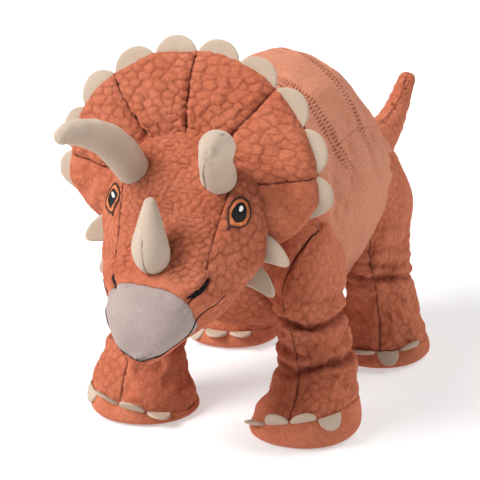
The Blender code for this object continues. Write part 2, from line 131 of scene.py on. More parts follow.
# Creases round a leg: height at the middle, rise either side, depth, width, middle angle, half span.
CREASES = {
    "FRONT": [
        (0.0760, -0.003, 0.0050, 0.0024, 325, 150), (0.0515, 0.002, 0.0046, 0.0024, 330, 150),
        (0.0640, 0.003, 0.0022, 0.0020, 20, 70), (0.0900, -0.008, 0.0018, 0.0028, 340, 60),
        (0.0620, -0.003, 0.0026, 0.0022, 200, 90), (0.0450, 0.001, 0.0022, 0.0024, 215, 60),
    ],
    "REAR": [
        (0.0640, -0.006, 0.0036, 0.0024, 320, 120), (0.0740, -0.007, 0.0020, 0.0022, 325, 80),
        (0.0850, -0.009, 0.0014, 0.0026, 330, 80), (0.0590, 0.003, 0.0024, 0.0022, 210, 90),
        (0.0990, -0.010, 0.0012, 0.0028, 340, 60),
    ],
}
BROW_HORN = [  # x, y, z, radius
    (0.0285, -0.1720, 0.1800, 0.0118),
    (0.0325, -0.1850, 0.1965, 0.0122),
    (0.0385, -0.1980, 0.2090, 0.0118),
    (0.0445, -0.2150, 0.2175, 0.0102),
    (0.0485, -0.2300, 0.2220, 0.0084),
    (0.0500, -0.2370, 0.2235, 0.0066),
]
NOSE_HORN = [
    (0.0, -0.2100, 0.1425, 0.0092),
    (0.0, -0.2155, 0.1500, 0.0130),
    (0.0, -0.2178, 0.1590, 0.0122),
    (0.0, -0.2180, 0.1690, 0.0088),
    (0.0, -0.2172, 0.1780, 0.0060),
    (0.0, -0.2168, 0.1815, 0.0046),
]
TAIL = [
    (0.0000, 0.0850, 0.1350, 0.0175),
    (0.0000, 0.0990, 0.1345, 0.0255),
    (0.0000, 0.1140, 0.1325, 0.0262),
    (0.0005, 0.1350, 0.1290, 0.0242),
    (0.0015, 0.1580, 0.1245, 0.0205),
    (0.0025, 0.1820, 0.1225, 0.0172),
    (0.0035, 0.2060, 0.1245, 0.0143),
    (0.0045, 0.2280, 0.1325, 0.0112),
    (0.0055, 0.2460, 0.1450, 0.0086),
    (0.0060, 0.2550, 0.1550, 0.0066),
]
FRILL_Z, FRILL_TOP, FRILL_SIDE, FRILL_ROOT = 0.1745, 0.0855, 0.0900, 0.036
FRILL_END, FRILL_TAPER = 118, 92
FRILL_SEAMS = (-118, -81, -40, 0, 40, 81, 118)
SCALLOP_PITCH, SCALLOP_HEIGHT = 20.0, 0.0100
BEAK_FROM = 0.66
CHEEK_SPIKES = {  # lower and upper end of the root, tip, bow of the middle
    "upper": ((0.0420, -0.1590, 0.1330), (0.0450, -0.1590, 0.1500),
              (0.0690, -0.1615, 0.1355), (0, 0, 0.0035)),
    "lower": ((0.0360, -0.1590, 0.1170), (0.0420, -0.1590, 0.1310),
              (0.0590, -0.1615, 0.1135), (0, 0, 0.0035)),
}


# ---------------------------------------------------------------- the part's surfaces, for whole arrays
def smooth(rows, u):
    """Rows read at u from 0 to 1 along a Catmull-Rom curve."""
    rows = np.asarray(rows, float)
    at = np.clip(u, 0, 1) * (len(rows) - 1)
    i = np.minimum(at.astype(int), len(rows) - 2)
    t = (at - i)[..., None]
    ends = np.vstack([2 * rows[0] - rows[1], rows, 2 * rows[-1] - rows[-2]])
    a, b, c, d = (ends[i + k] for k in range(4))
    return 0.5 * (2 * b + (c - a) * t + (2 * a - 5 * b + 4 * c - d) * t**2 + (3 * b - a - 3 * c + d) * t**3)


def ring(theta, power):
    """Across and up on a unit ring at theta degrees: power 2 is round and more is squarer."""
    turn = np.radians(theta)
    return [np.sign(wave) * np.abs(wave) ** (2 / power) for wave in (np.cos(turn), np.sin(turn))]


def profile_loft(rows, above, below=2.2):
    """Surface through rings that stand on a top line and a bottom line in the plane x = 0."""

    def surface(u, theta):
        u, theta = np.broadcast_arrays(np.asarray(u, float), np.asarray(theta, float))
        top_y, top_z, bottom_y, bottom_z, half = np.moveaxis(smooth(rows, u), -1, 0)
        over = (theta % 360 > 0) & (theta % 360 < 180)
        across, up = ring(theta, np.where(over, above, below))
        share = (1 + up) / 2
        y, z = bottom_y + (top_y - bottom_y) * share, bottom_z + (top_z - bottom_z) * share
        return np.stack([half * across, y, z], -1) + SHIFT

    return surface


def thigh_rows(hip, radius, leg_rows):
    """Leg rings with the round top that turns about the hip."""
    x, half = leg_rows[0][1], leg_rows[0][3]
    dome = []
    for angle in (86, 66, 46, 24, 2):
        lift, spread = math.sin(math.radians(angle)), math.cos(math.radians(angle))
        dome.append((hip[1] + radius * lift, x - 0.004 * lift, hip[0], half * spread**0.6, radius * spread))
    return dome + leg_rows


def leg_loft(rows, side):
    """Surface of a leg from hip to sole seam, flat where it lies against the body."""

    def surface(u, theta):
        u, theta = np.broadcast_arrays(np.asarray(u, float), np.asarray(theta, float))
        z, x, y, half, length = np.moveaxis(smooth(rows, u), -1, 0)
        across, along = ring(theta, 2.1)
        px = np.maximum(x + half * across, HIP_PLANE * np.clip((z - 0.040) / 0.014, 0, 1))
        return np.stack([side * px, y + length * along, z], -1) + SHIFT

    return surface


def sole_loft(rows, side):
    """Surface of a sole from its seam down to the floor."""
    _, x, y, half, length = rows[-1]

    def surface(u, theta):
        u, theta = np.broadcast_arrays(np.asarray(u, float), np.asarray(theta, float))
        z, share = np.moveaxis(smooth(SOLE, u), -1, 0)
        across, along = ring(theta, 2.1)
        points = np.stack([side * (x + half * share * across), y + length * share * along, z + 0 * share], -1)
        return points + SHIFT

    return surface


def swept_loft(rows, side=1, flat=1.0):
    """Surface of a round tapering piece along its own centre line."""

    def surface(u, theta):
        u, theta = np.broadcast_arrays(np.asarray(u, float), np.asarray(theta, float))
        x, y, z, radius = np.moveaxis(smooth(rows, u), -1, 0)
        ahead = (smooth(rows, u + 0.03) - smooth(rows, u - 0.03))[..., :3]
        ahead = ahead / np.linalg.norm(ahead, axis=-1, keepdims=True)
        across = np.array([1.0, 0, 0]) - ahead * ahead[..., :1]
        across = across / np.linalg.norm(across, axis=-1, keepdims=True)
        up = np.cross(across, ahead)
        turn = np.radians(theta)[..., None]
        offset = np.cos(turn) * across + flat * np.sin(turn) * up
        return (np.stack([x, y, z], -1) + radius[..., None] * offset) * (side, 1, 1) + SHIFT

    return surface


def frill_point(share, angle, depth=0.0):
    """Point of the frill: share 0 at its root and 1 at its rim, angle from the top, depth off its middle."""
    share, angle = np.broadcast_arrays(np.asarray(share, float), np.asarray(angle, float))
    turn = np.radians(angle)
    rim = FRILL_TOP + (FRILL_SIDE - FRILL_TOP) * np.sin(turn) ** 2
    rim = rim * (1 - 0.20 * np.clip((np.abs(angle) - FRILL_TAPER) / (FRILL_END - FRILL_TAPER), 0, 1))
    rim = rim * (1 - np.where(angle < 0, 0.075, 0.03) * np.clip((np.abs(angle) - 50) / 50, 0, 1))
    radius = FRILL_ROOT + (rim - FRILL_ROOT) * share
    y = -0.1515 + share * (0.0155 - 0.012 * np.sin(turn) ** 2) + depth
    return np.stack([radius * np.sin(turn), y, FRILL_Z + radius * np.cos(turn)], -1) + SHIFT


def frill_face(side):
    """Front (-1) or back (1) face of the frill, closing on the other in a round rim."""

    def surface(share, angle):
        share = np.asarray(share, float)
        full = 0.0044 + 0.0040 * np.sin(math.pi * np.clip(share, 0, 1) ** 0.9)
        return frill_point(share, angle, side * full * np.sqrt(np.clip(1 - share**14, 0, 1)))

    return surface


# ---------------------------------------------------------------- even sampling
def even_rows(surface, first, last, spacing, angles):
    """Values of u spaced evenly along the surface."""
    fine = np.linspace(first, last, 300)
    lines = surface(fine[:, None], np.array(angles, float)[None])
    step = np.linalg.norm(np.diff(lines, axis=0), axis=2).mean(1)
    walked = np.concatenate([[0], np.cumsum(step)])
    count = max(4, round(walked[-1] / spacing))
    return np.interp(np.linspace(0, walked[-1], count + 1), walked, fine)


def even_columns(surface, us, start, end, spacing):
    """For every u, angles spaced evenly along its ring from start to end, as many on each ring.

    start and end are angles, or functions that give a seam's angle at u.
    """
    start, end = (np.broadcast_to(e(us) if callable(e) else e, us.shape)[:, None] for e in (start, end))
    fine = start + (end - start) * np.linspace(0, 1, 150)
    step = np.linalg.norm(np.diff(surface(us[:, None], fine), axis=1), axis=2)
    walked = np.concatenate([np.zeros((len(us), 1)), np.cumsum(step, 1)], 1)
    count = max(4, round(np.quantile(walked[:, -1], 0.8) / spacing))
    share = np.linspace(0, 1, count + 1)
    return np.array([np.interp(share * w[-1], w, f) for w, f in zip(walked, fine)])


def cubic(coarse, fine):
    """Matrix that reads coarse values at fine evenly spaced places along a Catmull-Rom curve."""
    at = np.linspace(0, coarse - 1, fine)
    i = np.minimum(at.astype(int), coarse - 2)
    t = at - i
    basis = 0.5 * np.stack([2 * t**2 - t - t**3, 2 - 5 * t**2 + 3 * t**3,
                            t + 4 * t**2 - 3 * t**3, t**3 - t**2])
    weights = np.zeros((fine, coarse))
    for k in range(4):
        np.add.at(weights, (np.arange(fine), np.clip(i + k - 1, 0, coarse - 1)), basis[k])
    return weights


def enlarged(grid, rows, columns):
    """A coarse grid of vectors read on a finer one."""
    return np.einsum("ri,ijk,cj->rck", cubic(grid.shape[0], rows), grid, cubic(grid.shape[1], columns))


# ---------------------------------------------------------------- cloth
def inflated(grids, closed, inside, pressure, growth, cap, frames=12):
    """How far cloth panels, sewn side by side and stitched down along their seams, move under pressure.

    grids hold each panel's coarse points, closed joins the last panel to the first, and inside is a point, or
    one for every row, that the pressure pushes away from. The moves are capped, and come back panel by panel.
    """
    still = [np.zeros_like(g) for g in grids]
    joined = np.concatenate([g[:, :-1] for g in grids] + ([] if closed else [grids[-1][:, -1:]]), 1)
    rows, columns = joined.shape[:2]
    index = np.arange(rows * columns).reshape(rows, columns)
    left, right = (index, np.roll(index, -1, 1)) if closed else (index[:, :-1], index[:, 1:])
    quads = np.stack([left[:-1], right[:-1], right[1:], left[1:]], -1).reshape(-1, 4)
    if turned_out(joined, inside) > 0:
        quads = quads[:, ::-1]
    mesh = bpy.data.meshes.new("cloth")
    mesh.from_pydata(joined.reshape(-1, 3).tolist(), [], quads.tolist())
    cloth = bpy.data.objects.new("cloth", mesh)
    bpy.context.scene.collection.objects.link(cloth)
    seams = np.cumsum([0] + [g.shape[1] - 1 for g in grids])
    held = np.zeros((rows, columns), bool)
    held[[0, -1]] = True
    held[:, seams[seams < columns]] = True
    cloth.vertex_groups.new(name="held").add(index[held].tolist(), 1.0, "REPLACE")
    modifier = cloth.modifiers.new("cloth", "CLOTH")
    settings = modifier.settings
    settings.quality = 4
    settings.tension_stiffness = settings.compression_stiffness = 12
    settings.shear_stiffness, settings.bending_stiffness = 4, 0.4
    settings.use_pressure, settings.uniform_pressure_force = True, pressure
    settings.vertex_group_mass = "held"
    settings.shrink_min = -growth
    settings.effector_weights.gravity = 0
    modifier.collision_settings.use_collision = False
    for step in range(1, frames + 1):
        bpy.context.scene.frame_set(step)
    solved = cloth.evaluated_get(bpy.context.evaluated_depsgraph_get()).to_mesh()
    co = np.empty(rows * columns * 3)
    solved.vertices.foreach_get("co", co)
    bpy.data.objects.remove(cloth)
    bpy.context.scene.frame_set(1)
    move = co.reshape(rows, columns, 3) - joined
    length = np.linalg.norm(move, axis=2, keepdims=True)
    move *= np.tanh(length / cap) * cap / np.maximum(length, 1e-9)
    if closed:
        move = np.concatenate([move, move[:, :1]], 1)
    return [move[:, a:b + 1] for a, b in zip(seams, seams[1:])]


# ---------------------------------------------------------------- shaping
def grid_normals(points, closed=False):
    along = np.gradient(points, axis=0)
    across = np.roll(points, -1, 1) - np.roll(points, 1, 1) if closed else np.gradient(points, axis=1)
    normals = np.cross(along, across)
    return normals / np.maximum(np.linalg.norm(normals, axis=2, keepdims=True), 1e-12)


def turned_out(points, inside):
    """1 if the grid's normals point away from inside, and -1 if they point towards it."""
    return 1.0 if np.sum(grid_normals(points) * (points - inside)) > 0 else -1.0


def walked(points, axis):
    """Distance along the grid from its first row or column."""
    step = np.linalg.norm(np.diff(points, axis=axis), axis=2)
    return np.concatenate([np.zeros_like(np.take(step, [0], axis)), np.cumsum(step, axis)], axis)


def edge_distance(points, edges):
    """Distance to the nearest of the named edges of the grid: first and last row, left and right column."""
    near = np.full(points.shape[:2], 1.0)
    for axis, names in ((0, ("first", "last")), (1, ("left", "right"))):
        distance = walked(points, axis)
        if names[0] in edges:
            near = np.minimum(near, distance)
        if names[1] in edges:
            near = np.minimum(near, np.take(distance, [-1], axis) - distance)
    return near


def waves(points, size, seed):
    """Smooth noise of about -1 to 1 with features about size across, from a sum of sine waves."""
    draw = np.random.default_rng(seed)
    total = np.zeros(points.shape[:-1])
    for _ in range(8):
        direction = draw.normal(size=3)
        direction *= 2 * math.pi / size * draw.uniform(0.6, 1.3) / np.linalg.norm(direction)
        total += np.sin(points @ direction + draw.uniform(0, 2 * math.pi))
    return total / 3


def scattered(points, spacing, draw):
    """Some of the points, none of them nearer to another than spacing."""
    cells, kept = {}, []
    for i in draw.permutation(len(points)):
        p = points[i]
        key = tuple((p // spacing).astype(int))
        near = (cells.get((key[0] + a, key[1] + b, key[2] + c), ())
                for a in (-1, 0, 1) for b in (-1, 0, 1) for c in (-1, 0, 1))
        if all(sum((p - q) ** 2) >= spacing**2 for cell in near for q in cell):
            cells.setdefault(key, []).append(p)
            kept.append(p)
    return np.array(kept)


CREASE_WIDTH = 0.00075  # half width of the crease between two embossed pebbles


def pebbles(points, spacing, stretch, seed):
    """How deep in a crease between embossed pebbles each point lies, from 0 to 1."""
    draw = np.random.default_rng(seed)
    flat = (points * np.array(stretch)).reshape(-1, 3)
    flat = flat + 0.0009 * np.stack([waves(points, 0.012, seed + k) for k in range(3)], -1).reshape(-1, 3)
    seeds = scattered(flat[draw.permutation(len(flat))[:9000]], spacing, draw)
    tree = KDTree(len(seeds))
    for i, p in enumerate(seeds):
        tree.insert(p, i)
    tree.balance()
    found = np.array([[(f[1], f[2]) for f in tree.find_n(p, 2)] for p in flat.tolist()])
    a, b = found[:, 0, 0].astype(int), found[:, 1, 0].astype(int)
    apart = np.linalg.norm(seeds[a] - seeds[b], axis=1)
    gap = (found[:, 1, 1] ** 2 - found[:, 0, 1] ** 2) / (2 * np.maximum(apart, 1e-6))
    mixed = np.sin((a + b) * 12.9898 + (a * b) * 0.0371) * 43758.5453
    strength = 0.5 + 0.5 * (mixed - np.floor(mixed))
    return (strength * np.exp(-(gap / CREASE_WIDTH) ** 1.4)).reshape(points.shape[:2])


def folds(points, angle, table):
    """Push along the normal, and painted shade, of creases that run round a leg."""
    push, painted_shade = np.zeros(points.shape[:2]), np.zeros(points.shape[:2])
    for height, rise, depth, width, middle, span in table:
        turn = (angle - middle + 180) % 360 - 180
        off = np.radians(turn)
        line = height + rise * np.sin(off) + 0.0014 * np.sin(3.3 * off + height * 900)
        gap = (points[..., 2] - line) / width
        fade = np.clip(1 - (turn / span) ** 2, 0, 1)
        bulge = np.exp(-((gap - 2.2) / 1.1) ** 2) + 0.4 * np.exp(-((gap + 2.2) / 1.1) ** 2)
        push += fade * depth * (0.38 * bulge - np.exp(-np.abs(gap) ** 1.6))
        # painted shade in the fold's groove
        painted_shade += fade * np.exp(-gap**2) * depth / 0.005
    return push, painted_shade


# ---------------------------------------------------------------- building pieces
class Cover:
    """Vertices, faces and point attributes of one piece, gathered from several grids and threads."""

    def __init__(self):
        self.points, self.rest, self.crease, self.satin, self.faces, self.slots = [], [], [], [], [], []
        self.count = 0

    def grid(self, points, outside, crease=0.0, satin=0.0, closed=False, slot=0):
        """Faces over a grid of points. outside is 1 or -1, as turned_out says."""
        rows, columns = points.shape[:2]
        index = self.count + np.arange(rows * columns).reshape(rows, columns)
        left, right = (index, np.roll(index, -1, 1)) if closed else (index[:, :-1], index[:, 1:])
        quads = np.stack([left[:-1], right[:-1], right[1:], left[1:]], -1).reshape(-1, 4)
        self.faces += (quads[:, ::-1] if outside > 0 else quads).tolist()
        self.slots += [slot] * len(quads)
        self.points.append(points.reshape(-1, 3))
        self.crease.append(np.broadcast_to(crease, points.shape[:2]).reshape(-1))
        self.satin.append(np.broadcast_to(satin, points.shape[:2]).reshape(-1))
        self.count += rows * columns

    def thread(self, path, radius, slot=1):
        """A round thread along a path of points, which is smoothed first."""
        path = np.asarray(path, float)
        for _ in range(6):
            path = np.concatenate([path[:1], (path[:-2] + 2 * path[1:-1] + path[2:]) / 4, path[-1:]])
        ahead = np.gradient(path, axis=0)
        ahead /= np.maximum(np.linalg.norm(ahead, axis=1, keepdims=True), 1e-9)
        side = np.cross(ahead, [0.31, 0.52, 0.79])
        side /= np.linalg.norm(side, axis=1, keepdims=True)
        turn = np.radians(np.arange(0, 360, 60))[None, :, None]
        other = np.cross(ahead, side)
        rings = path[:, None] + radius * (np.cos(turn) * side[:, None] + np.sin(turn) * other[:, None])
        self.grid(rings, -1.0, crease=0.0, satin=walked(rings, 0), closed=True, slot=slot)

    def made(self, name, *materials):
        mesh = bpy.data.meshes.new(name)
        points = np.concatenate(self.points)
        mesh.from_pydata(points.tolist(), [], self.faces)
        for material in materials:
            mesh.materials.append(material)
        mesh.polygons.foreach_set("material_index", np.array(self.slots, np.int32))
        for label, values in (("crease", self.crease), ("satin", self.satin)):
            mesh.attributes.new(label, "FLOAT", "POINT").data.foreach_set("value", np.concatenate(values))
        place = mesh.attributes.new("place", "FLOAT_VECTOR", "POINT")
        place.data.foreach_set("vector", points.ravel())
        mesh.shade_smooth()
        mesh.update()
        made = bpy.data.objects.new(name, mesh)
        bpy.context.scene.collection.objects.link(made)
        return made


def tucked(points, crease, outside, edges, depth=0.003):
    """The grid with one more row or column turned in at each of the named edges."""
    inward = -outside * depth * grid_normals(points)
    if "first" in edges:
        points = np.concatenate([(points + inward)[:1], points])
        crease = np.concatenate([crease[:1], crease])
        inward = np.concatenate([inward[:1], inward])
    if "last" in edges:
        points = np.concatenate([points, (points + inward)[-1:]])
        crease = np.concatenate([crease, crease[-1:]])
        inward = np.concatenate([inward, inward[-1:]])
    if "left" in edges:
        points = np.concatenate([(points + inward)[:, :1], points], 1)
        crease = np.concatenate([crease[:, :1], crease], 1)
        inward = np.concatenate([inward[:, :1], inward], 1)
    if "right" in edges:
        points = np.concatenate([points, (points + inward)[:, -1:]], 1)
        crease = np.concatenate([crease, crease[:, -1:]], 1)
    return points, crease


def domed(points, push, rows):
    """The grid with a rounded end grown from its last row, pushed out by push at the middle."""
    rim = points[-1]
    middle = rim.mean(0)
    turn = np.linspace(0, math.pi / 2 * 0.985, rows + 1)[1:, None, None]
    cap = middle + (rim - middle) * np.cos(turn) + np.array(push) * np.sin(turn)
    return np.concatenate([points, cap])


STITCH_WIDTH = 0.0009  # half width of the painted shade along a sewn seam
PUCKER_PITCH, PUCKER_REACH = 0.0062, 0.006  # gathers along a seam, and how far from it they die out


def panel(cover, points, inside, seams, emboss=None, puckers=0.00035, seam=(0.0016, 0.0026), nap=0.00009,
          push=0.0, painted_shade=0.0, slot=0, seed=0, seam_shade=0.6, satin=0.0, lumps=0.0006):
    """Adds one sewn panel: seams sink at its edges, fabric puckers beside them, and pebbles are pressed in.

    emboss is (depth, spacing, stretch), where depth may be an array; push moves the surface out, and the
    argument after it darkens it with painted shade. Seams and the creases between pebbles get painted shade
    too. The finished points come back, so that threads can follow the panel's edges.
    """
    outside = turned_out(points, inside)
    normals = outside * grid_normals(points)
    near = edge_distance(points, seams)
    depth, width = seam
    wide = np.clip(walked(points, 1)[:, -1:] / 0.012, 0, 1)
    sides = edge_distance(points, [n for n in seams if n in ("left", "right")])
    groove = 0.75 * np.exp(-(sides / width) ** 1.3) + 0.25 * np.exp(-(near / width) ** 1.3)
    out = push - depth * wide * groove
    # painted shade along the seam grooves, strongest at the side seams, through the crease attribute
    sewn = seam_shade * np.exp(-(sides / STITCH_WIDTH) ** 1.5) + 0.12 * np.exp(-(near / STITCH_WIDTH) ** 1.5)
    crease = wide * sewn + painted_shade
    along = walked(points, 0) if "left" in seams or "right" in seams else walked(points, 1)
    phase = along / PUCKER_PITCH + waves(points, 0.03, seed + 3)
    out = out + puckers * np.exp(-near / PUCKER_REACH) * np.sin(2 * math.pi * phase)
    out = out + lumps * waves(points, 0.035, seed + 7) * np.clip(near / 0.01, 0, 1)
    if emboss is not None:
        pressed, spacing, stretch = emboss
        sunk = pebbles(points, spacing, stretch, seed)
        out = out - pressed * sunk
        # painted shade in the creases between the embossed pebbles
        crease = crease + 0.98 * np.clip(np.asarray(pressed) / 0.0008, 0, 1) * sunk
    draw = np.random.default_rng(seed + 11)
    out = out + nap * draw.normal(size=points.shape[:2])
    shaped = points + normals * np.asarray(out)[..., None]
    _, satin = tucked(shaped, np.broadcast_to(satin, points.shape[:2]), outside, seams)
    whole, crease = tucked(shaped, np.clip(crease, 0, 1.3), outside, seams)
    cover.grid(whole, outside, crease=crease, satin=satin, slot=slot)
    return shaped


# ---------------------------------------------------------------- materials
def shader(name, colour, roughness, sheen=0.0, sheen_tint=(1, 1, 1, 1), sheen_roughness=0.45):
    """A material whose Principled shader has these constants, and a helper that adds nodes to it."""
    made = bpy.data.materials.new(name)
    made.use_nodes = True
    tree = made.node_tree
    principled = tree.nodes["Principled BSDF"]
    principled.inputs["Base Color"].default_value = (*colour, 1)
    principled.inputs["Roughness"].default_value = roughness
    principled.inputs["Specular IOR Level"].default_value = 0.25
    principled.inputs["Sheen Weight"].default_value = sheen
    principled.inputs["Sheen Roughness"].default_value = sheen_roughness
    principled.inputs["Sheen Tint"].default_value = sheen_tint

    def node(kind, inputs=(), **settings):
        new = tree.nodes.new(kind)
        for key, value in settings.items():
            setattr(new, key, value)
        for key, value in dict(inputs).items():
            if isinstance(value, bpy.types.NodeSocket):
                tree.links.new(value, new.inputs[key])
            else:
                new.inputs[key].default_value = value
        return new

    return made, principled, tree, node


def mixed(node, share, a, b, mode="MIX"):
    mix = node("ShaderNodeMix", data_type="RGBA", blend_type=mode)
    tree = mix.id_data
    for slot, value in ((0, share), (6, a), (7, b)):
        if isinstance(value, bpy.types.NodeSocket):
            tree.links.new(value, mix.inputs[slot])
        else:
            mix.inputs[slot].default_value = value
    return mix.outputs[2]


def fabric(name, colour, shade, light, pile, clump, depth, sheen, crease_share=0.9, second=None):
    """Short pile: mottled colour, with painted shade in creases and in the low parts of its tufts and fibres,
    and a soft bump.

    second is a colour that takes over where the satin attribute nears 1.
    """
    made, principled, tree, node = shader(name, colour, 0.95, sheen, (*light, 1))
    place = node("ShaderNodeAttribute", attribute_name="place").outputs["Vector"]
    crease = node("ShaderNodeAttribute", attribute_name="crease").outputs["Fac"]
    broad = node("ShaderNodeTexNoise", {"Vector": place, "Scale": 42.0, "Detail": 3.0}).outputs["Fac"]
    tufts = node("ShaderNodeTexNoise", {"Vector": place, "Scale": clump, "Detail": 4.0, "Roughness": 0.65})
    fibre = node("ShaderNodeTexNoise", {"Vector": place, "Scale": pile, "Detail": 3.0, "Roughness": 0.7})
    wide = node("ShaderNodeMapRange", {"Value": broad, "From Min": 0.35, "From Max": 0.65, "To Max": 0.55})
    patchy = mixed(node, wide.outputs[0], (*colour, 1), (*light, 1))
    # painted shade in the low parts of the tufts, whose noise also drives the bump
    high = node("ShaderNodeMapRange", {"Value": tufts.outputs["Fac"], "From Min": 0.38, "From Max": 0.62,
                                       "To Min": 0.22, "To Max": 0.0})
    tufted = mixed(node, high.outputs[0], patchy, (*shade, 1))
    # painted shade in the low parts of the fibres, whose noise also drives the fine bump
    thread = node("ShaderNodeMapRange", {"Value": fibre.outputs["Fac"], "From Min": 0.36, "From Max": 0.60,
                                         "To Min": 0.42, "To Max": 0.0})
    hairy = mixed(node, thread.outputs[0], tufted, (*shade, 1))
    if second:
        share = node("ShaderNodeAttribute", attribute_name="satin").outputs["Fac"]
        hairy = mixed(node, share, hairy, mixed(node, thread.outputs[0], (*second, 1), (*shade, 1)))
    # painted shade: the crease attribute darkens the colour in seams, pebble creases, folds, dashes and slits
    crease_shade = node("ShaderNodeMath", {0: crease, 1: crease_share}, operation="MULTIPLY", use_clamp=True)
    final = mixed(node, crease_shade.outputs[0], hairy, (*shade, 1))
    tree.links.new(final, principled.inputs["Base Color"])
    low = node("ShaderNodeBump", {"Height": tufts.outputs["Fac"], "Strength": 0.8, "Distance": depth})
    fine = node("ShaderNodeBump", {"Height": fibre.outputs["Fac"], "Strength": 0.7, "Distance": depth * 0.5,
                                   "Normal": low.outputs["Normal"]})
    tree.links.new(fine.outputs["Normal"], principled.inputs["Normal"])
    return made


def embroidery(name, colour, shade, roughness=0.42):
    """Satin stitches: fine ridges across the satin attribute, painted shade in the grooves between them, and
    thread gloss.
    """
    made, principled, tree, node = shader(name, colour, roughness, 0.04)
    satin = node("ShaderNodeAttribute", attribute_name="satin").outputs["Fac"]
    wave = node("ShaderNodeMath", {0: satin, 1: 2 * math.pi / 0.00055}, operation="MULTIPLY")
    ridge = node("ShaderNodeMath", {0: wave.outputs[0]}, operation="SINE")
    # painted shade in the troughs between the stitch ridges
    ridge_shade = node("ShaderNodeMapRange", {"Value": ridge.outputs[0], "From Min": -1.0,
                                       "To Min": 0.6, "To Max": 0.0})
    tree.links.new(mixed(node, ridge_shade.outputs[0], (*colour, 1), (*shade, 1)), principled.inputs["Base Color"])
    bump = node("ShaderNodeBump", {"Height": ridge.outputs[0], "Strength": 0.5, "Distance": 0.00012})
    tree.links.new(bump.outputs["Normal"], principled.inputs["Normal"])
    return made


PLUSH_COLOUR = (0.56, 0.158, 0.076)
# Name, colour, painted shade colour, paler colour of broad patches and of the sheen, pile scale, tuft scale,
# bump in metres, sheen.
PLUSH = fabric("plush", PLUSH_COLOUR, (0.20, 0.036, 0.019), (0.70, 0.245, 0.138), 1150.0, 420.0, 0.0010, 0.8)
BACK = fabric("back_plush", (0.62, 0.245, 0.145), (0.26, 0.065, 0.036), (0.71, 0.33, 0.22),
              1150.0, 560.0, 0.0009, 0.8, second=PLUSH_COLOUR)
BEAK = fabric("beak_plush", (0.42, 0.325, 0.30), (0.22, 0.16, 0.15), (0.53, 0.43, 0.40),
              1500.0, 900.0, 0.0009, 0.5)
VELOUR = fabric("velour", (0.53, 0.42, 0.335), (0.36, 0.265, 0.195), (0.60, 0.49, 0.40),
                2600.0, 1300.0, 0.0002, 0.3, 0.75)
FELTED = fabric("felt", (0.50, 0.39, 0.30), (0.34, 0.245, 0.175), (0.57, 0.46, 0.37),
                2400.0, 1100.0, 0.00024, 0.25, 0.6)
SEWING = embroidery("seam_thread", (0.20, 0.042, 0.024), (0.09, 0.019, 0.012), 0.6)
INK = embroidery("black_thread", (0.008, 0.006, 0.007), (0.003, 0.002, 0.003), 0.75)
BROWN = embroidery("brown_thread", (0.070, 0.024, 0.018), (0.028, 0.010, 0.008), 0.7)
AMBER = embroidery("amber_thread", (0.68, 0.20, 0.060), (0.42, 0.10, 0.03))
WHITE = embroidery("white_thread", (0.86, 0.84, 0.80), (0.6, 0.58, 0.55))
BEIGE = embroidery("beige_thread", (0.24, 0.18, 0.13), (0.12, 0.09, 0.065), 0.6)


# ---------------------------------------------------------------- torso
TORSO_SEAMS = {"side_left": (-52, 30), "back": (30, 150), "side_right": (150, 232), "belly": (232, 308)}
# Bands of pressed dashes across the back: y at the spine and how far the band drifts with |x|, dash length.
DASH_BANDS = [(-0.029, -0.16, 0.0054), (0.0145, -0.02, 0.0050)]
DASH_PITCH, DASH_DEPTH = 0.0027, 0.0012
BACK_RADIUS = 0.085  # turns an angle round the back into a distance
PEBBLE = 0.0056  # pitch of the embossed pebbles


def dashes(points, angle):
    """Depth from 0 to 1 of the rows of short pressed dashes that cross the back."""
    pressed = np.zeros(points.shape[:2])
    y = points[..., 1] - SHIFT[1]
    around = np.radians(90 - angle) * BACK_RADIUS
    reach = np.abs(around)
    for middle, drift, length in DASH_BANDS:
        centre = middle + drift * reach * np.clip(1.6 - reach / 0.055, -0.4, 1)
        for row in (-0.55, 0.55):
            off = np.abs(y - centre - row * length) / (length * 0.43)
            pitch = around / DASH_PITCH + 0.5 * (row > 0)
            wave = 0.5 - 0.5 * np.cos(2 * math.pi * pitch)
            fade = np.clip((0.128 - reach) / 0.03, 0, 1)
            pressed = np.maximum(pressed, fade * np.clip(1.25 - off**4, 0, 1) * wave**2.6)
    return pressed


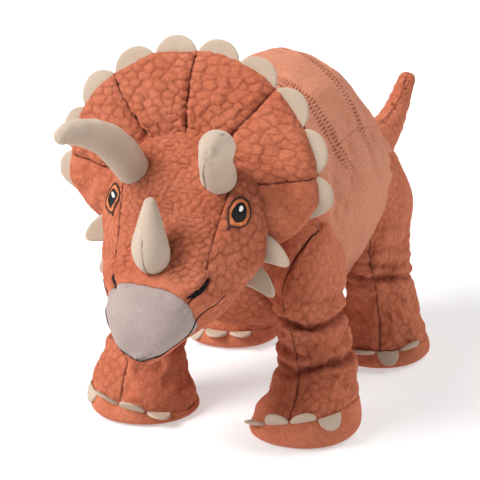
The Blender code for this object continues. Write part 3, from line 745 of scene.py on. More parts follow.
def torso():
    surface = profile_loft(TORSO, above=1.64)
    coarse = 0.0065
    us = even_rows(surface, 0, 1, coarse, (0, 90, 180, 270))
    grids = [surface(us[:, None], even_columns(surface, us, *TORSO_SEAMS[n], coarse)) for n in TORSO_SEAMS]
    whole = np.concatenate(grids, 1)
    moves = dict(zip(TORSO_SEAMS, inflated(grids, True, whole.mean(1, keepdims=True), 3.0, 0.02, 0.0035)))
    for name, (start, end) in TORSO_SEAMS.items():
        spacing = FINE * (1.1 if name == "belly" else 0.72)
        us = even_rows(surface, 0, 1, spacing, (start, (start + end) / 2, end))
        vs = even_columns(surface, us, start, end, spacing if name == "belly" else spacing * 0.68)
        points = surface(us[:, None], vs)
        points = points + enlarged(moves[name], *points.shape[:2])
        inside = surface(us[:, None], np.arange(0, 360, 10)[None]).mean(1, keepdims=True)
        cover = Cover()
        y = points[..., 1] - SHIFT[1]
        pull = 0.0007 * np.sin(2 * math.pi * (vs / 17 + 0.4 * waves(points, 0.09, 5)))
        pull = pull * np.clip((y + 0.07) / 0.04, 0, 1)
        chest = 0.0006 * np.clip((-0.060 - y) / 0.02, 0, 1) + 0.00012
        emboss = (chest, PEBBLE, (1, 1, 1.15))
        if name == "belly":
            shaped = panel(cover, points, inside, ("left", "right"), emboss, push=pull, seed=42)
            cover.thread(shaped[2:-2, 0] + (shaped[2:-2, 0] - inside[2:-2, 0]) * 0.004, 0.00025)
        else:
            sunk = dashes(points, vs)
            streaks = 0.00005 * np.sin(2 * math.pi * (vs / 3.1 + 0.5 * waves(points, 0.05, 4)))
            streaks = streaks * np.clip((y + 0.06) / 0.02, 0, 1)
            # the pressed dashes are darkened with painted shade
            shaped = panel(cover, points, inside, ("left", "right"), emboss, 0.00008, (0.00015, 0.0020),
                           0.00004, push=pull * 0.5 + streaks - DASH_DEPTH * sunk, painted_shade=0.85 * sunk,
                           seed=30 + 3 * len(name), seam_shade=0.08, satin=np.clip((-0.050 - y) / 0.025, 0, 1))
        ends(cover, shaped, inside, ((0, -0.006), (-1, 0.003)))
        skin = cover.made(name + "_skin", PLUSH if name == "belly" else BACK, SEWING)
        yield name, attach(skin, "torso")


def ends(cover, shaped, inside, pushes):
    """Fills a panel's share of the ends where another piece joins: each has a row, and its bulge along y."""
    for row, push in pushes:
        turn = np.linspace(0, 1, 12)[:, None, None]
        middle = inside[row, 0]
        rim = shaped[row][None]
        bulge = np.array([0, push, 0]) * np.sin(turn * math.pi / 2)
        cap = middle + (rim - middle) * np.cos(turn * math.pi / 2) + bulge
        cover.grid(cap, turned_out(cap, middle - np.array([0, push * 9, 0])))


# ---------------------------------------------------------------- legs
FOOT_LEAN = 0.0045
SEAM_Z = SOLE[0][0]


def stance(points, place, side, middle):
    """Legs as they stand: front feet lean a little to the left, and a sole's seam is higher on the outside."""
    points = points.copy()
    z = points[..., 2]
    if place == "front":
        points[..., 0] += FOOT_LEAN * np.clip((0.095 - z) / 0.055, 0, 1)
    turn = np.arctan2(points[..., 1] - middle[1], side * (points[..., 0] - side * middle[0]))
    tilt, drop = {"front": (0.0085, 0.0010 if side > 0 else 0.0040), "rear": (0.0010, 0.0050)}[place]
    share = np.clip(np.minimum(z / SEAM_Z, (0.050 - z) / (0.050 - SEAM_Z)), 0, 1)
    reach = np.hypot(points[..., 0] - side * middle[0], points[..., 1] - middle[1]) / 0.030
    points[..., 2] += share * (tilt * np.cos(turn) * np.clip(reach, 0, 1) - drop)
    return points


def leg(prefix, side, body):
    place = prefix.split("_")[0]
    hip, radius, rings, style, turn, tilts = LEGS[place]
    foot = (rings[-1][1], rings[-1][2] + SHIFT[1])
    rows = thigh_rows(hip, radius, rings)
    surface = leg_loft(rows, side)
    spans = {"outer": (lambda u: np.interp(u, *FRONT_SEAM[style]) - 360, BACK_SEAM),
             "inner": (BACK_SEAM, lambda u: np.interp(u, *FRONT_SEAM[style]))}
    coarse = 0.0055
    us = even_rows(surface, 0, 1, coarse, (0, 90, 180, 270))
    grids = [surface(us[:, None], even_columns(surface, us, *span, coarse)) for span in spans.values()]
    whole = np.concatenate(grids, 1)
    moves = dict(zip(spans, inflated(grids, True, whole.mean(1, keepdims=True), 4.0, 0.05, 0.0016)))
    cover = Cover()
    for k, (name, span) in enumerate(spans.items()):
        us = even_rows(surface, 0, 1, FINE * 1.05, (0, 90, 180, 270))
        vs = even_columns(surface, us, *span, FINE * 1.05)
        points = surface(us[:, None], vs)
        points = points + enlarged(moves[name], *points.shape[:2])
        push, painted_shade = folds(points, vs, CREASES[style])
        points = stance(points, place, side, foot)
        low = np.clip((points[..., 2] - 0.021) / 0.012, 0, 1)
        ruck = np.exp(-((points[..., 2] - 0.062) / 0.022) ** 2)
        push = push - 0.0010 * low + 0.0007 * ruck * waves(points * (1, 1, 3.2), 0.016, 77 + k)
        settle = np.clip((us[:, None] - 0.10) / 0.15, 0, 1)
        depth = 0.00060 if name == "outer" else 0.00035
        loops = stance(surface(us[:, None], np.arange(0, 360, 10)[None]), place, side, foot)
        inside = loops.mean(1, keepdims=True)
        # the folds' painted shade darkens the leg's colour
        shaped = panel(cover, points, inside, ("left", "right", "last"), (depth, PEBBLE, (1, 1, 1.1)),
                       seam=(0.0007, 0.0019), push=push * settle, painted_shade=painted_shade * settle * 1.1, seam_shade=0.30,
                       seed=(50 if place == "front" else 60) + k + (4 if side > 0 else 0))
        cover.thread(shaped[4:, 0] + (shaped[4:, 0] - inside[4:, 0]) * 0.008, 0.00026)
    skin = cover.made(prefix + "_skin", PLUSH, SEWING)
    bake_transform(skin)
    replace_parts(skin, prefix + "_cover", prefix + "_filling")
    sole(prefix, rows, side, body, foot)
    nails(prefix, rows[-1], side, turn, tilts, body, foot)


def sole(prefix, rows, side, body, foot):
    surface = sole_loft(rows, side)
    us = even_rows(surface, 0, 1, FINE * 1.2, (0, 90, 180, 270))
    vs = even_columns(surface, us, 0, 360, FINE * 1.2)
    points = surface(us[:, None], vs)
    middle = points[-1].mean(0)
    turn = np.linspace(0, 1, 18)[1:, None, None]
    floor = middle + (points[-1] - middle) * (1 - turn * 0.995)
    points = stance(np.concatenate([points, floor]), prefix.split("_")[0], side, foot)
    flat = np.clip(points[..., 2] / 0.004, 0, 1)
    cover = Cover()
    panel(cover, points, middle + np.array([0, 0, 0.009]), ("first",), (0.0002 * flat, PEBBLE, (1, 1, 1)),
          seam=(0.0010, 0.0022), puckers=0.0002 * flat, nap=0.00005 * flat, push=0.0003 * flat, seed=70,
          lumps=0.0003 * flat)
    made = cover.made(prefix + "_sole_skin", PLUSH)
    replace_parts(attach(made, body), prefix + "_sole")


NAIL_PITCH, NAIL_LENGTH = 30, 0.0098  # degrees round the foot, and metres


def nails(prefix, seam_ring, side, turn, tilts, body, foot):
    """Four half-round felt nails in the sole seam, each tipped up or down a little differently."""
    z, x, y, half, length = seam_ring
    cover = Cover()
    for k, tilt in enumerate(tilts):
        middle = 270 + turn + NAIL_PITCH * (k - 1.5)
        share = np.linspace(-1, 1, 33)
        across, along = ring(middle + 0.48 * NAIL_PITCH * share, 2.1)
        rim = np.stack([side * (x + half * across), y + length * along, np.full(33, z - 0.0006)], -1) + SHIFT
        rim = stance(rim, prefix.split("_")[0], side, foot)
        a, b = ring(np.array([float(middle)]), 2.1)
        outward = np.array([side * a[0] / half, b[0] / length, 0])
        outward /= np.linalg.norm(outward)
        lift = math.radians(tilt)
        reach = outward * math.cos(lift) + np.array([0, 0, math.sin(lift)])
        sewn = rim - outward * (0.0012 if tilt > -40 else 0.0)
        felt(cover, sewn, reach, NAIL_LENGTH, np.cross(reach, rim[-1] - rim[0]), curl=0.12)
    made = cover.made(prefix + "_nails", FELTED)
    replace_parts(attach(made, body), prefix + "_toenails")


def felt(cover, root, reach, height, across, curl=0.0, power=2.3):
    """A half-round felt tab: root is its sewn edge, reach the way it stands, across its thin direction."""
    t = np.linspace(-1, 1, len(root))[None, :]
    s = 1 - (1 - np.linspace(0, 1, 15)[:, None]) ** 1.6
    reach, across = np.asarray(reach, float), np.asarray(across, float)
    reach, across = reach / np.linalg.norm(reach), across / np.linalg.norm(across)
    tall = height * np.clip(1 - np.abs(t) ** power, 0, 1) ** 0.6 + 0.0002
    thick = FELT / 2 * np.sqrt(np.clip(1 - s**7, 0, 1)) * np.sqrt(np.clip(1 - np.abs(t) ** 12, 0, 1))
    curled = ((s * tall) ** 2 / height * curl)[..., None] * across
    middle = root[None] + (s * tall)[..., None] * reach + curled
    for face in (1, -1):
        points = middle + (face * thick)[..., None] * across
        # painted shade at the tab's sewn root
        crease = 0.5 * np.exp(-s / 0.06) + 0 * t
        cover.grid(points, turned_out(points, middle - face * 0.01 * across), crease=crease)


# ---------------------------------------------------------------- head
def forehead_seam(u):
    """Angle of the seam between forehead and left cheek, which runs down towards the nostril."""
    return np.interp(u, (0, 0.31, 0.40, 0.49, 0.55, 0.66, 1), (49, 48.8, 47, 41, 35, 31, 31))


HEAD_SEAMS = {
    "cheek_left": (-17, forehead_seam),
    "forehead": (forehead_seam, lambda u: 180 - forehead_seam(u)),
    "cheek_right": (lambda u: 180 - forehead_seam(u), 197),
    "jaw": (197, 343),
}
HEAD_NODES = {"cheek_left": "cheek_panel_left", "cheek_right": "cheek_panel_right",
              "forehead": "forehead_panel", "jaw": "jaw_panel"}
FULL_CHEEK = 0.0040  # how much fuller the left cheek is
# The beak starts at this u, at angles round the head.
BEAK_EDGE = ((-17, 4, 17, 46, 87, 105, 133, 160, 197),
             (0.615, 0.648, 0.654, 0.667, 0.674, 0.664, 0.632, 0.61, 0.60))


def turned_snout(points):
    """The snout leans a little to the animal's left at its top, and hangs the other way at its bottom."""
    y, z = points[..., 1] - SHIFT[1], points[..., 2]
    ahead = np.clip((-0.168 - y) / 0.045, 0, 1)
    high = np.clip((z - 0.082) / 0.050, 0, 1)
    move = np.stack([0.0085 * high - 0.0035, 0 * high, -0.0045 * high], -1)
    return points + ahead[..., None] * move



NOSTRIL = [(0.0330, -0.2050, 0.1360), (0.0300, -0.2110, 0.1305), (0.0235, -0.2180, 0.1268)]
MOUTH = [(0.0405, -0.1955, 0.1225), (0.0350, -0.2055, 0.1155), (0.0295, -0.2125, 0.1075),
         (0.0254, -0.2145, 0.0970), (0.0191, -0.2186, 0.0895), (0.0094, -0.2205, 0.0822),
         (0.0, -0.2212, 0.0796)]


def near_path(points, path):
    """Distance from every point to a path of straight runs."""
    path = np.asarray(path, float) + SHIFT
    best = np.full(points.shape[:-1], 9.0)
    for a, b in zip(path, path[1:]):
        t = np.clip((points - a) @ (b - a) / ((b - a) @ (b - a)), 0, 1)
        best = np.minimum(best, np.linalg.norm(points - a - t[..., None] * (b - a), axis=-1))
    return best


def mirrored(path, side):
    return [(side * x, y, z) for x, y, z in path]


def nostril_push(points):
    """A fold of fabric above each nostril's slit, and the slit itself, with painted shade in the slit."""
    push, painted_shade = 0.0, 0.0
    for side in (1, -1):
        path = mirrored(NOSTRIL, side)
        slit = near_path(points, path)
        lip = near_path(points, [(x - side * 0.0042, y, z + 0.0034) for x, y, z in path])
        push = push + 0.0036 * np.exp(-(lip / 0.0028) ** 2) - 0.0022 * np.exp(-(slit / 0.0020) ** 2)
        # painted shade in the sunk slit
        painted_shade = painted_shade + 0.9 * np.exp(-(slit / 0.0022) ** 2)
    return push, painted_shade


def head():
    surface = profile_loft(HEAD, above=2.2)
    coarse = 0.0055
    us = even_rows(surface, 0, 1, coarse, (0, 90, 180, 270))
    grids = [surface(us[:, None], even_columns(surface, us, *s, coarse)) for s in HEAD_SEAMS.values()]
    whole = np.concatenate(grids, 1)
    moves = dict(zip(HEAD_SEAMS, inflated(grids, True, whole.mean(1, keepdims=True), 3.0, 0.02, 0.0022)))
    made = {}
    beak = Cover()
    for k, (name, span) in enumerate(HEAD_SEAMS.items()):
        us = even_rows(surface, 0, 1, FINE, (0, 90, 180, 270))
        vs = even_columns(surface, us, *span, FINE)
        edge = int(np.searchsorted(us, BEAK_FROM)) if name != "jaw" else len(us)
        u = np.broadcast_to(us[:, None], vs.shape)
        if name != "jaw":
            split = np.interp(vs, *BEAK_EDGE)
            u = np.where(u <= us[edge], u * split / us[edge], 1 - (1 - u) * (1 - split) / (1 - us[edge]))
        points = surface(u, vs)
        before_beak = np.clip(1 - (np.arange(len(us))[:, None] - edge) / 10, 0, 1)
        points = points + enlarged(moves[name], *points.shape[:2]) * before_beak[..., None]
        inside = surface(us[:, None], np.arange(0, 360, 10)[None]).mean(1, keepdims=True)
        push, painted_shade = nostril_push(points)
        if name == "cheek_left":
            round_it = np.cos(np.radians(np.clip(vs, -45, 45) * 1.6))
            push = push + FULL_CHEEK * np.exp(-((u - 0.20) / 0.17) ** 2) * round_it
        push = push * before_beak**3
        points = turned_snout(points + turned_out(points, inside) * grid_normals(points) * push[..., None])
        snout = walked(points, 0)
        to_beak = np.clip((snout[min(edge, len(us) - 1)] - snout) / 0.016, 0, 1) if name != "jaw" else 0.6
        depth = {"forehead": 0.00095, "jaw": 0.0004}.get(name, 0.00070) * to_beak
        cover = Cover()
        part = slice(0, edge + 1)
        seams = ("left", "right", "last") if name != "jaw" else ("left", "right")
        sunk = np.broadcast_to(depth, points.shape[:2])[part]
        stretch = (0.9, 1.1, 1.6) if name == "forehead" else (1, 1, 0.85)
        size = 0.0044 if name == "forehead" else 0.0048
        # the nostril slits' painted shade darkens the panel
        shaped = panel(cover, points[part], inside[part], seams, (sunk, size, stretch), 0.00022,
                       (0.0008, 0.0018), painted_shade=painted_shade[part], seed=80 + k, seam_shade=0.32)
        if name in ("forehead", "cheek_right"):
            line = shaped[3:, 0] + (shaped[3:, 0] - inside[part][3:, 0]) * 0.006
            for a, b in running(line):
                cover.thread(line[a:b], 0.00024)
        ends(cover, shaped, inside, ((0, 0.007),))
        if name == "jaw":
            end = domed(shaped[-2:], (0, -0.001, -0.001), 5)
            cover.grid(end[1:], turned_out(end[1:], inside[-2, 0]))
        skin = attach(cover.made(name + "_skin", PLUSH, SEWING), "head")
        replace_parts(skin, HEAD_NODES[name])
        made[name] = skin
        if name != "jaw":
            rest = points[edge:]
            turn = np.linspace(0, 1, 9)[1:, None, None]
            middle = turned_snout(inside[-1])
            end = middle + (rest[-1] - middle) * (1 - turn) - [0, 0.002, 0.001] * turn
            rest = np.concatenate([rest, end])
            centre = np.concatenate([inside[edge:], np.repeat(inside[-1:], len(end), 0) + [0, 0.02, 0.004]])
            swell = 0.0012 * np.clip(walked(rest, 0) / 0.004, 0, 1)
            edges = ("first",) + {"cheek_left": ("left",), "cheek_right": ("right",), "forehead": ()}[name]
            panel(beak, rest, centre, edges, None, 0.0001, (0.0009, 0.0016), 0.00005, push=swell, seed=95,
                  seam_shade=0.1, lumps=0.00015)
    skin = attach(beak.made("beak_skin", BEAK), "head")
    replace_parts(skin, "beak_panel", "head_filling")
    return made, skin


def running(path, dash=9, gap=1):
    """Starts and ends of stitches along a path."""
    return [(i, min(i + dash, len(path))) for i in range(0, len(path) - 2, dash + gap)]


class Ground:
    """The finished skins of the head, onto which embroidery is laid."""

    def __init__(self, *objects):
        points, faces = [], []
        for o in objects:
            start = len(points)
            points += [v.co.copy() for v in o.data.vertices]
            faces += [[start + i for i in p.vertices] for p in o.data.polygons]
        self.tree = BVHTree.FromPolygons(points, faces)

    def laid(self, places, outward, lift):
        """Each place moved along outward onto the skins, then lifted off them."""
        flat, result = turned_snout(np.asarray(places, float)).reshape(-1, 3), []
        rise = np.broadcast_to(lift, np.asarray(places).shape[:-1]).reshape(-1)
        way = Vector(outward).normalized()
        for p, up in zip(flat, rise):
            start = Vector(p) + way * 0.02
            spot = self.tree.ray_cast(start, -way, 0.05)[0] or self.tree.find_nearest(Vector(p))[0]
            result.append(spot + way * float(up))
        return np.array(result).reshape(np.asarray(places).shape)


def outline(shape, count=96):
    """Closed smooth outline through a few points given as (across, up) in the eye's own plane."""
    points = np.array(shape, float)
    n = len(points)
    at = np.arange(count) * n / count
    i = at.astype(int)
    t = (at - i)[:, None]
    a, b, c, d = (points[(i + k) % n] for k in (-1, 0, 1, 2))
    return 0.5 * (2 * b + (c - a) * t + (2 * a - 5 * b + 4 * c - d) * t**2 + (3 * b - a - 3 * c + d) * t**3)


def oval(middle, half_width, half_height, tilt=0.0, count=12):
    turn = np.radians(np.arange(count) * 360 / count)
    x, y = half_width * np.cos(turn), half_height * np.sin(turn)
    c, s = math.cos(math.radians(tilt)), math.sin(math.radians(tilt))
    return np.stack([middle[0] + c * x - s * y, middle[1] + s * x + c * y], -1)


# Outline of the eye in millimetres: forward, then up along the cheek, with a tear duct at the lower front.
EYE_OUTER = [(1.0, 11.6), (-4.6, 10.4), (-8.2, 5.6), (-8.9, -0.6), (-6.4, -6.8), (-1.0, -10.2), (4.0, -10.4),
             (8.0, -12.6), (7.6, -8.6), (8.6, -3.0), (8.2, 3.4), (5.4, 8.8)]
EYE_INNER = [(0.6, 9.4), (-3.8, 8.4), (-6.7, 4.6), (-7.2, -0.6), (-5.2, -5.8), (-0.8, -8.5), (3.4, -8.3),
             (5.6, -7.0), (6.2, -5.4), (6.9, -2.0), (6.6, 3.0), (4.2, 7.4)]
EYE_TURN, EYE_SCALE = 19, 0.00090  # degrees the top leans back, metres for each millimetre above
EYE_MIDDLE = (0.0436, -0.1768, 0.1688)


def eye(label, side, ground):
    middle = np.array(EYE_MIDDLE) * (side, 1, 1) + SHIFT
    up = np.array([0.02 * side, 0.57, 0.82])
    forward = np.array([-0.52 * side, -0.84, 0.12])
    outward = np.cross(forward, up) * -side
    outward /= np.linalg.norm(outward)
    up = np.cross(outward, forward)
    up *= np.sign(up[2]) / np.linalg.norm(up)
    forward /= np.linalg.norm(forward)
    lean = math.radians(EYE_TURN)
    c, s = math.cos(lean), math.sin(lean)
    forward, up = forward * c + up * s, up * c - forward * s
    cover = Cover()

    def spread(flat):
        return middle + EYE_SCALE * (flat[..., :1] * forward + flat[..., 1:] * up)

    def disc(edge, thick, base, slot):
        centre = edge.mean(0)
        share = np.linspace(0.02, 1, 12)[:, None, None]
        flat = centre + (edge[None] - centre) * share
        lift = base + thick * np.sqrt(1 - share[..., 0] ** 8)
        lift = np.broadcast_to(lift, flat.shape[:2])
        points = ground.laid(spread(flat), outward, lift)
        outside = turned_out(points, middle - outward * 0.05)
        cover.grid(points, outside, satin=flat[..., 0] * 0.001, closed=True, slot=slot)

    inner, outer = outline(EYE_INNER), outline(EYE_OUTER)
    inner = inner + 0.30 * (outer - inner)
    disc(inner, 0.0005, 0.0001, 0)
    disc(outline(oval((0.3, 0.5), 5.1, 7.0, 4)), 0.0004, 0.0006, 1)
    disc(outline(oval((0.3, 3.0), 1.35, 2.1, 10)), 0.0003, 0.0010, 2)
    k = np.linspace(0, 1, 9)[:, None, None]
    flat = inner[None] * (1 - k) + outer[None] * k
    lift = 0.0001 + 0.0009 * np.sqrt(np.clip(1 - (2 * k[..., 0] - 1) ** 4, 0, 1))
    points = ground.laid(spread(flat), outward, np.broadcast_to(lift, flat.shape[:2]))
    satin = np.broadcast_to(np.arange(flat.shape[1]) * 0.00055 * 0.9, flat.shape[:2])
    cover.grid(points, turned_out(points, middle - outward * 0.05), satin=satin, closed=True, slot=3)
    made = cover.made("eye_stitched_" + label, AMBER, INK, WHITE, BROWN)
    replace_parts(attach(made, "head"), "eye_" + label)


def cord_between(path, count=60):
    points = np.array(path, float)
    return smooth(points, np.linspace(0, 1, count))


def stitched(name, ground, path, width, rise, outward, node, material):
    """A raised satin line, tapering to its ends, laid on the head along a path."""
    centre = cord_between(path) + SHIFT
    ahead = np.gradient(centre, axis=0)
    ahead /= np.linalg.norm(ahead, axis=1, keepdims=True)
    ways = np.asarray(outward, float)
    ways = ways if ways.ndim == 2 else np.broadcast_to(ways, centre.shape)
    sideways = np.cross(ahead, ways)
    sideways /= np.linalg.norm(sideways, axis=1, keepdims=True)
    share = np.linspace(0, 1, len(centre))
    half = width / 2 * (0.25 + 0.75 * np.sin(math.pi * share) ** 0.5)
    k = np.linspace(-1, 1, 9)
    rows = []
    for c, s, w, h in zip(centre, sideways, ways, half):
        lift = rise * np.sqrt(np.clip(1 - k**4, 0, 1))
        rows.append(ground.laid(c + s * (k * h)[:, None], w, lift))
    points = np.array(rows)
    cover = Cover()
    cover.grid(points, turned_out(points, centre[:, None] - ways[:, None] * 0.02), satin=walked(points, 0))
    made = cover.made(name, material)
    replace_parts(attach(made, "head"), node)


def horn(name, rows, side, nodes, seams, root=(0, 0, 0), tip_move=(0, 0, 0), slim=(1, 1)):
    """A velour horn with two sewn seams, its tip closed in a round end. Its root and tip move a little."""
    rows = np.array(rows, float)
    share = np.linspace(0, 1, len(rows))[:, None]
    rows[:, :3] += (1 - share) * np.array(root) + share * np.array(tip_move)
    rows[:, 3:] *= slim[0] + (slim[1] - slim[0]) * share
    surface = swept_loft(rows, side)
    us = even_rows(surface, 0, 1, SMOOTH * 0.6, (0, 120, 240))
    cover = Cover()
    for k, (start, end) in enumerate(zip(seams, seams[1:] + (seams[0] + 360,))):
        vs = even_columns(surface, us, start, end, SMOOTH * 0.6)
        points = surface(us[:, None], vs)
        centre = surface(us[:, None], np.arange(0, 360, 20)[None]).mean(1, keepdims=True)
        tip = rows[-1][:3] * (side, 1, 1) + SHIFT
        ahead = (rows[-1] - rows[-2])[:3] * (side, 1, 1)
        ahead *= rows[-1][3] / np.linalg.norm(ahead)
        turn = np.linspace(0, math.pi / 2, 9)[1:, None, None]
        cap = tip + (points[-1] - tip) * np.cos(turn) + ahead * np.sin(turn)
        points = np.concatenate([points, cap])
        centre = np.concatenate([centre, np.broadcast_to(tip - ahead, (8, 1, 3))])
        held = np.clip((len(points) - 5 - np.arange(len(points)))[:, None] / 10, 0, 1)
        shaped = panel(cover, points, centre, ("left", "right"), None, 0.00008, (0.0006 * held, 0.0011),
                       0.00003, push=0.0004 * waves(points, 0.025, 3 + k), seed=100 + k, seam_shade=0.55 * held)
        cover.thread(shaped[2:-11, 0] + (shaped[2:-11, 0] - centre[2:-11, 0]) * 0.045, 0.00028)
    made = cover.made(name, VELOUR, BEIGE)
    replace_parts(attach(made, "head"), *nodes)


def cheek_spike(place, label, side):
    low, high, tip, bow = (np.array(p, float) for p in CHEEK_SPIKES[place])
    root = high - low
    low, high = low - root * 0.12, high + root * 0.20
    tip = tip + np.array([0.0045, -0.001, -0.0015]) * (side > 0)
    thin = np.cross(high - low, tip - low)
    thin /= np.linalg.norm(thin)
    s = 1 - (1 - np.linspace(0, 1, 40)) ** 1.5
    k = np.sin(np.linspace(-1, 1, 17) * math.pi / 2)
    s, k = s[:, None, None], k[None, :, None]
    half = np.sqrt(np.clip(1 - s**3.2, 0, 1)) * (1 - 0.32 * s)
    middle = (low + high) / 2 * (1 - s) + tip * s + bow * np.sin(math.pi * s)
    flat = middle + (high - low) / 2 * half * k
    thick = FELT / 2 * np.sqrt(np.clip(1 - k**8, 0, 1)) * np.sqrt(np.clip(1 - s**9, 0, 1))
    cover = Cover()
    for face in (1, -1):
        points = (flat + face * thick * thin) * (side, 1, 1) + SHIFT
        middle_sheet = (flat - face * 0.01 * thin) * (side, 1, 1) + SHIFT
        cover.grid(points, turned_out(points, middle_sheet))
    made = cover.made(f"cheek_spike_{place}_{label}_felt", FELTED)
    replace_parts(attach(made, "head"), f"cheek_spike_{place}_{label}")


# ---------------------------------------------------------------- frill
def frill():
    for side, node, material in ((-1, "frill_front", PLUSH), (1, "frill_back", BACK)):
        surface = frill_face(side)
        coarse = 0.0055
        us = even_rows(surface, 0.0, 0.97, coarse, FRILL_SEAMS)
        spans = list(zip(FRILL_SEAMS, FRILL_SEAMS[1:]))
        grids = [surface(us[:, None], even_columns(surface, us, *s, coarse)) for s in spans]
        inside = np.array([0, -side * 5.0, FRILL_Z])
        moves = inflated(grids, False, inside, 3.5, 0.04, 0.0018)
        cover = Cover()
        for k, (span, move) in enumerate(zip(spans, moves)):
            us = even_rows(surface, 0.0, 1.0, FINE, (span[0], sum(span) / 2, span[1]))
            vs = even_columns(surface, us, *span, FINE)
            points = surface(us[:, None], vs)
            rim = np.clip((1 - us[:, None, None]) / 0.06, 0, 1)
            points = points + enlarged(move, *points.shape[:2]) * rim
            middle = np.abs(sum(span)) / 2
            depth = 0.00100 if middle < 50 else (0.00075 if middle < 70 else 0.0003)
            near = edge_distance(points, ("left", "right"))
            swell = 0.0012 * (1 - np.exp(-near / 0.009)) * rim[..., 0]
            fold = 0.0006 * np.sin(2 * math.pi * (us[:, None] * 3 + 0.4 * waves(points, 0.05, k)))
            push = swell + fold * np.exp(-near / 0.01) * rim[..., 0]
            shaped = panel(cover, points, inside, ("left", "right"),
                           (depth if side < 0 else 0.00025, 0.0058, (0.85, 1, 1.3)), 0.0004,
                           (0.0008, 0.0022), push=push, seed=110 + 10 * k + side, seam_shade=0.32)
            if k:
                inner = [shaped[i, 0] + np.array([0, side * 0.0004, 0]) for i in range(4, len(shaped) - 6)]
                for a, b in running(inner, 14):
                    cover.thread(inner[a:b], 0.00021)
        made = cover.made(node + "_skin", material, SEWING)
        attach(made, "head")
        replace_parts(made, *([node, "frill_filling"] if side < 0 else [node]))
    for side, label in ((1, "left"), (-1, "right")):
        for k in range(5):
            scallop(f"frill_scallop_{label}_{k + 1}", side * SCALLOP_PITCH * (k + 0.5), k, side)


def scallop(node, middle, k, side):
    t = np.linspace(-1, 1, 45)
    angle = middle + SCALLOP_PITCH * 0.485 * t
    root = frill_point(1.0, angle)
    inner = frill_point(0.97, angle)
    ahead = (root - inner)[22]
    ahead /= np.linalg.norm(ahead)
    lean = 0.10 * math.sin(2.3 * k + side)
    cover = Cover()
    reach = ahead + np.array([0, lean, 0])
    felt(cover, root - ahead * 0.0020, reach, SCALLOP_HEIGHT + 0.0008, (0, 1, 0), 0.08 - lean)
    made = cover.made(node + "_felt", FELTED)
    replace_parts(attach(made, "head"), node)


# ---------------------------------------------------------------- neck and tail
def neck():
    """A short stuffed tube from the body to the head, in two parts that meet on the joints' point."""
    turn = np.arange(0, 360, 3.0)
    middle = np.array([0, -0.121, 0.142]) + SHIFT
    parts = (("neck_rear_skin", -0.095, -0.121, ("torso", "neck")),
             ("neck_front_skin", -0.121, -0.150, ("neck", "head")))
    for name, start, end, bodies in parts:
        ys = np.linspace(start, end, 22)[:, None]
        radius = 0.0390 + 0.0004 * np.cos(ys * 520)
        across, up = ring(turn[None], 2.1)
        height = middle[2] + 0.10 * (start - ys) + radius * up
        points = np.stack([radius * across, ys + 0 * across, height], -1) + SHIFT
        cover = Cover()
        wrinkle = 0.0007 * waves(points, 0.03, 9)
        points = points + grid_normals(points, True) * wrinkle[..., None]
        cover.grid(points, turned_out(points, middle), closed=True)
        made = cover.made(name, PLUSH)
        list(bodies)
        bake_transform(made)
        if bodies[0] == "torso":
            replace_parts(made, "neck_filling")


def tail():
    surface = swept_loft(TAIL)
    coarse = 0.005
    us = even_rows(surface, 0, 1, coarse, (0, 90, 180, 270))
    spans = ((75, 250), (250, 435))
    grids = [surface(us[:, None], even_columns(surface, us, *s, coarse)) for s in spans]
    moves = inflated(grids, True, np.concatenate(grids, 1).mean(1, keepdims=True), 3.0, 0.05, 0.0018)
    cover = Cover()
    for k, (span, move) in enumerate(zip(spans, moves)):
        us = even_rows(surface, 0, 1, FINE, (0, 90, 180, 270))
        vs = even_columns(surface, us, *span, FINE)
        points = surface(us[:, None], vs)
        points = points + enlarged(move, *points.shape[:2])
        centre = surface(us[:, None], np.arange(0, 360, 20)[None]).mean(1, keepdims=True)
        tip = np.array(TAIL[-1][:3]) + SHIFT
        ahead = np.array(TAIL[-1][:3]) - np.array(TAIL[-2][:3])
        ahead *= TAIL[-1][3] / np.linalg.norm(ahead)
        turn = np.linspace(0, math.pi / 2, 9)[1:, None, None]
        points = np.concatenate([points, tip + (points[-1] - tip) * np.cos(turn) + ahead * np.sin(turn)])
        centre = np.concatenate([centre, np.broadcast_to(tip - ahead, (8, 1, 3))])
        swell = 0.0030 * np.exp(-((walked(points, 0) - 0.055) / 0.035) ** 2)
        phase = walked(points, 0) / 0.013 + 0.5 * waves(points, 0.03, 2)
        rolls = swell + 0.0003 * np.sin(2 * math.pi * phase)
        panel(cover, points, centre, ("left", "right"), (0.00045, 0.0052, (1, 1, 1)), 0.0003,
              (0.0008, 0.0018), push=rolls, seed=130 + k, seam_shade=0.5)
    made = cover.made("tail_skin", PLUSH, SEWING)
    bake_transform(made)
    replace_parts(made, "tail_cover", "tail_filling")


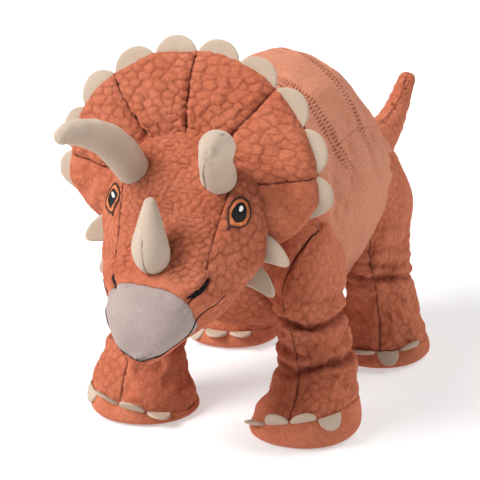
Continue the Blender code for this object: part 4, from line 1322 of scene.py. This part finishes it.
# ---------------------------------------------------------------- stage
def studio():
    azimuth, elevation = math.radians(VIEW_AZIMUTH), math.radians(VIEW_ELEVATION)
    back = Vector((math.sin(azimuth) * math.cos(elevation), -math.cos(azimuth) * math.cos(elevation),
                   math.sin(elevation)))
    camera = bpy.data.objects.new("camera", bpy.data.cameras.new("camera"))
    camera.data.lens, camera.data.sensor_width = VIEW_LENS, 36
    camera.location = Vector(VIEW_TARGET) + back * VIEW_DISTANCE
    camera.rotation_mode = "QUATERNION"
    camera.rotation_quaternion = (-back).to_track_quat("-Z", "Y")
    bpy.context.scene.collection.objects.link(camera)
    bpy.context.scene.camera = camera
    bpy.context.scene.view_settings.view_transform = "Standard"
    for name, turn, height, strength, angle in (("key", -66, 42, 4.4, 34), ("rim", 108, 44, 2.1, 50)):
        lamp = bpy.data.lights.new(name, "SUN")
        lamp.energy, lamp.angle = strength, math.radians(angle)
        light = bpy.data.objects.new(name, lamp)
        a, e = azimuth + math.radians(turn), math.radians(height)
        way = Vector((math.sin(a) * math.cos(e), -math.cos(a) * math.cos(e), math.sin(e)))
        light.location = way
        light.rotation_mode = "QUATERNION"
        light.rotation_quaternion = (-way).to_track_quat("-Z", "Y")
        bpy.context.scene.collection.objects.link(light)
    world = bpy.data.worlds.new("studio")
    world.use_nodes = True
    world.node_tree.nodes["Background"].inputs["Color"].default_value = (1, 1, 1, 1)
    world.node_tree.nodes["Background"].inputs["Strength"].default_value = 0.13
    bpy.context.scene.world = world
    mesh = bpy.data.meshes.new("floor")
    reach = 12.0
    corners = [(-reach, -reach, 0), (reach, -reach, 0), (reach, reach, 0), (-reach, reach, 0)]
    mesh.from_pydata(corners, [], [(0, 1, 2, 3)])
    floor = bpy.data.objects.new("floor", mesh)
    bpy.context.scene.collection.objects.link(floor)
    paper, principled, _, _ = shader("paper", (0.55, 0.55, 0.55), 0.9)
    principled.inputs["Emission Color"].default_value = (1, 1, 1, 1)
    principled.inputs["Emission Strength"].default_value = 0.45
    mesh.materials.append(paper)
    backdrop(reach)


def backdrop(reach, sides=48):
    """A white wall round the floor's edge, which neither lights nor shades the toy."""
    mesh = bpy.data.meshes.new("backdrop")
    turns = [k * math.tau / sides for k in range(sides)]
    radius = 0.98 * reach
    points = [(radius * math.cos(a), radius * math.sin(a), z) for z in (0, reach / 2) for a in turns]
    following = [(k + 1) % sides for k in range(sides)]
    mesh.from_pydata(points, [], [(k, n, sides + n, sides + k) for k, n in enumerate(following)])
    white, principled, _, _ = shader("backdrop", (0, 0, 0), 1.0)
    principled.inputs["Emission Color"].default_value = (1, 1, 1, 1)
    principled.inputs["Emission Strength"].default_value = 1.0
    mesh.materials.append(white)
    wall = bpy.data.objects.new("backdrop", mesh)
    wall.visible_diffuse = wall.visible_glossy = wall.visible_shadow = False
    bpy.context.scene.collection.objects.link(wall)


# ---------------------------------------------------------------- assembly
def assemble():
    for old in [o for o in bpy.data.objects if o.name in ("Cube", "Light", "Camera")]:
        bpy.data.objects.remove(old)
    studio()
    torso_nodes = {"back": ("back_panel", "body_filling"), "side_left": ("body_side_left",),
                   "side_right": ("body_side_right",), "belly": ("belly_panel",)}
    for name, skin in torso():
        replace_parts(skin, *torso_nodes[name])
    neck()
    tail()
    skins, beak = head()
    ground = Ground(*skins.values(), beak)
    for side, label in ((1, "left"), (-1, "right")):
        eye(label, side, ground)
        stitched("nostril_stitched_" + label, ground, mirrored(NOSTRIL, side), 0.0032, 0.0005,
                 (0.55 * side, -0.75, 0.30), "nostril_" + label, INK)
        lean = (-0.0030, 0.0015, -0.001) if side < 0 else (0.0015, -0.001, 0.0010)
        nodes = ("brow_horn_" + label + "_cover", "brow_horn_" + label + "_filling")
        slim = (0.94, 0.78) if side < 0 else (0.97, 0.84)
        horn("brow_horn_" + label, BROW_HORN, side, nodes, (300, 120), (0.0010, 0, 0.0075), lean, slim)
        for place in CHEEK_SPIKES:
            cheek_spike(place, label, side)
    mouth = MOUTH + mirrored(MOUTH[-2::-1], -1)
    ways = np.array([(p[0], -0.012, 0.02 * (p[2] - 0.11)) for p in cord_between(mouth)])
    ways[:, 2] -= 0.006
    ways /= np.linalg.norm(ways, axis=1, keepdims=True)
    stitched("mouth_stitched", ground, mouth, 0.0012, 0.0006, ways, "mouth_embroidery", INK)
    horn("nose_horn", NOSE_HORN, 1, ("nose_horn_cover", "nose_horn_filling"), (273, 93),
         (0.0030, 0.001, -0.0040), (0.0030, 0.000, -0.0015), (0.90, 0.92))
    frill()
    for side, label in ((1, "left"), (-1, "right")):
        for place in LEGS:
            body = f"{place}_leg_{label}"
            leg(body, side, body)


assemble()
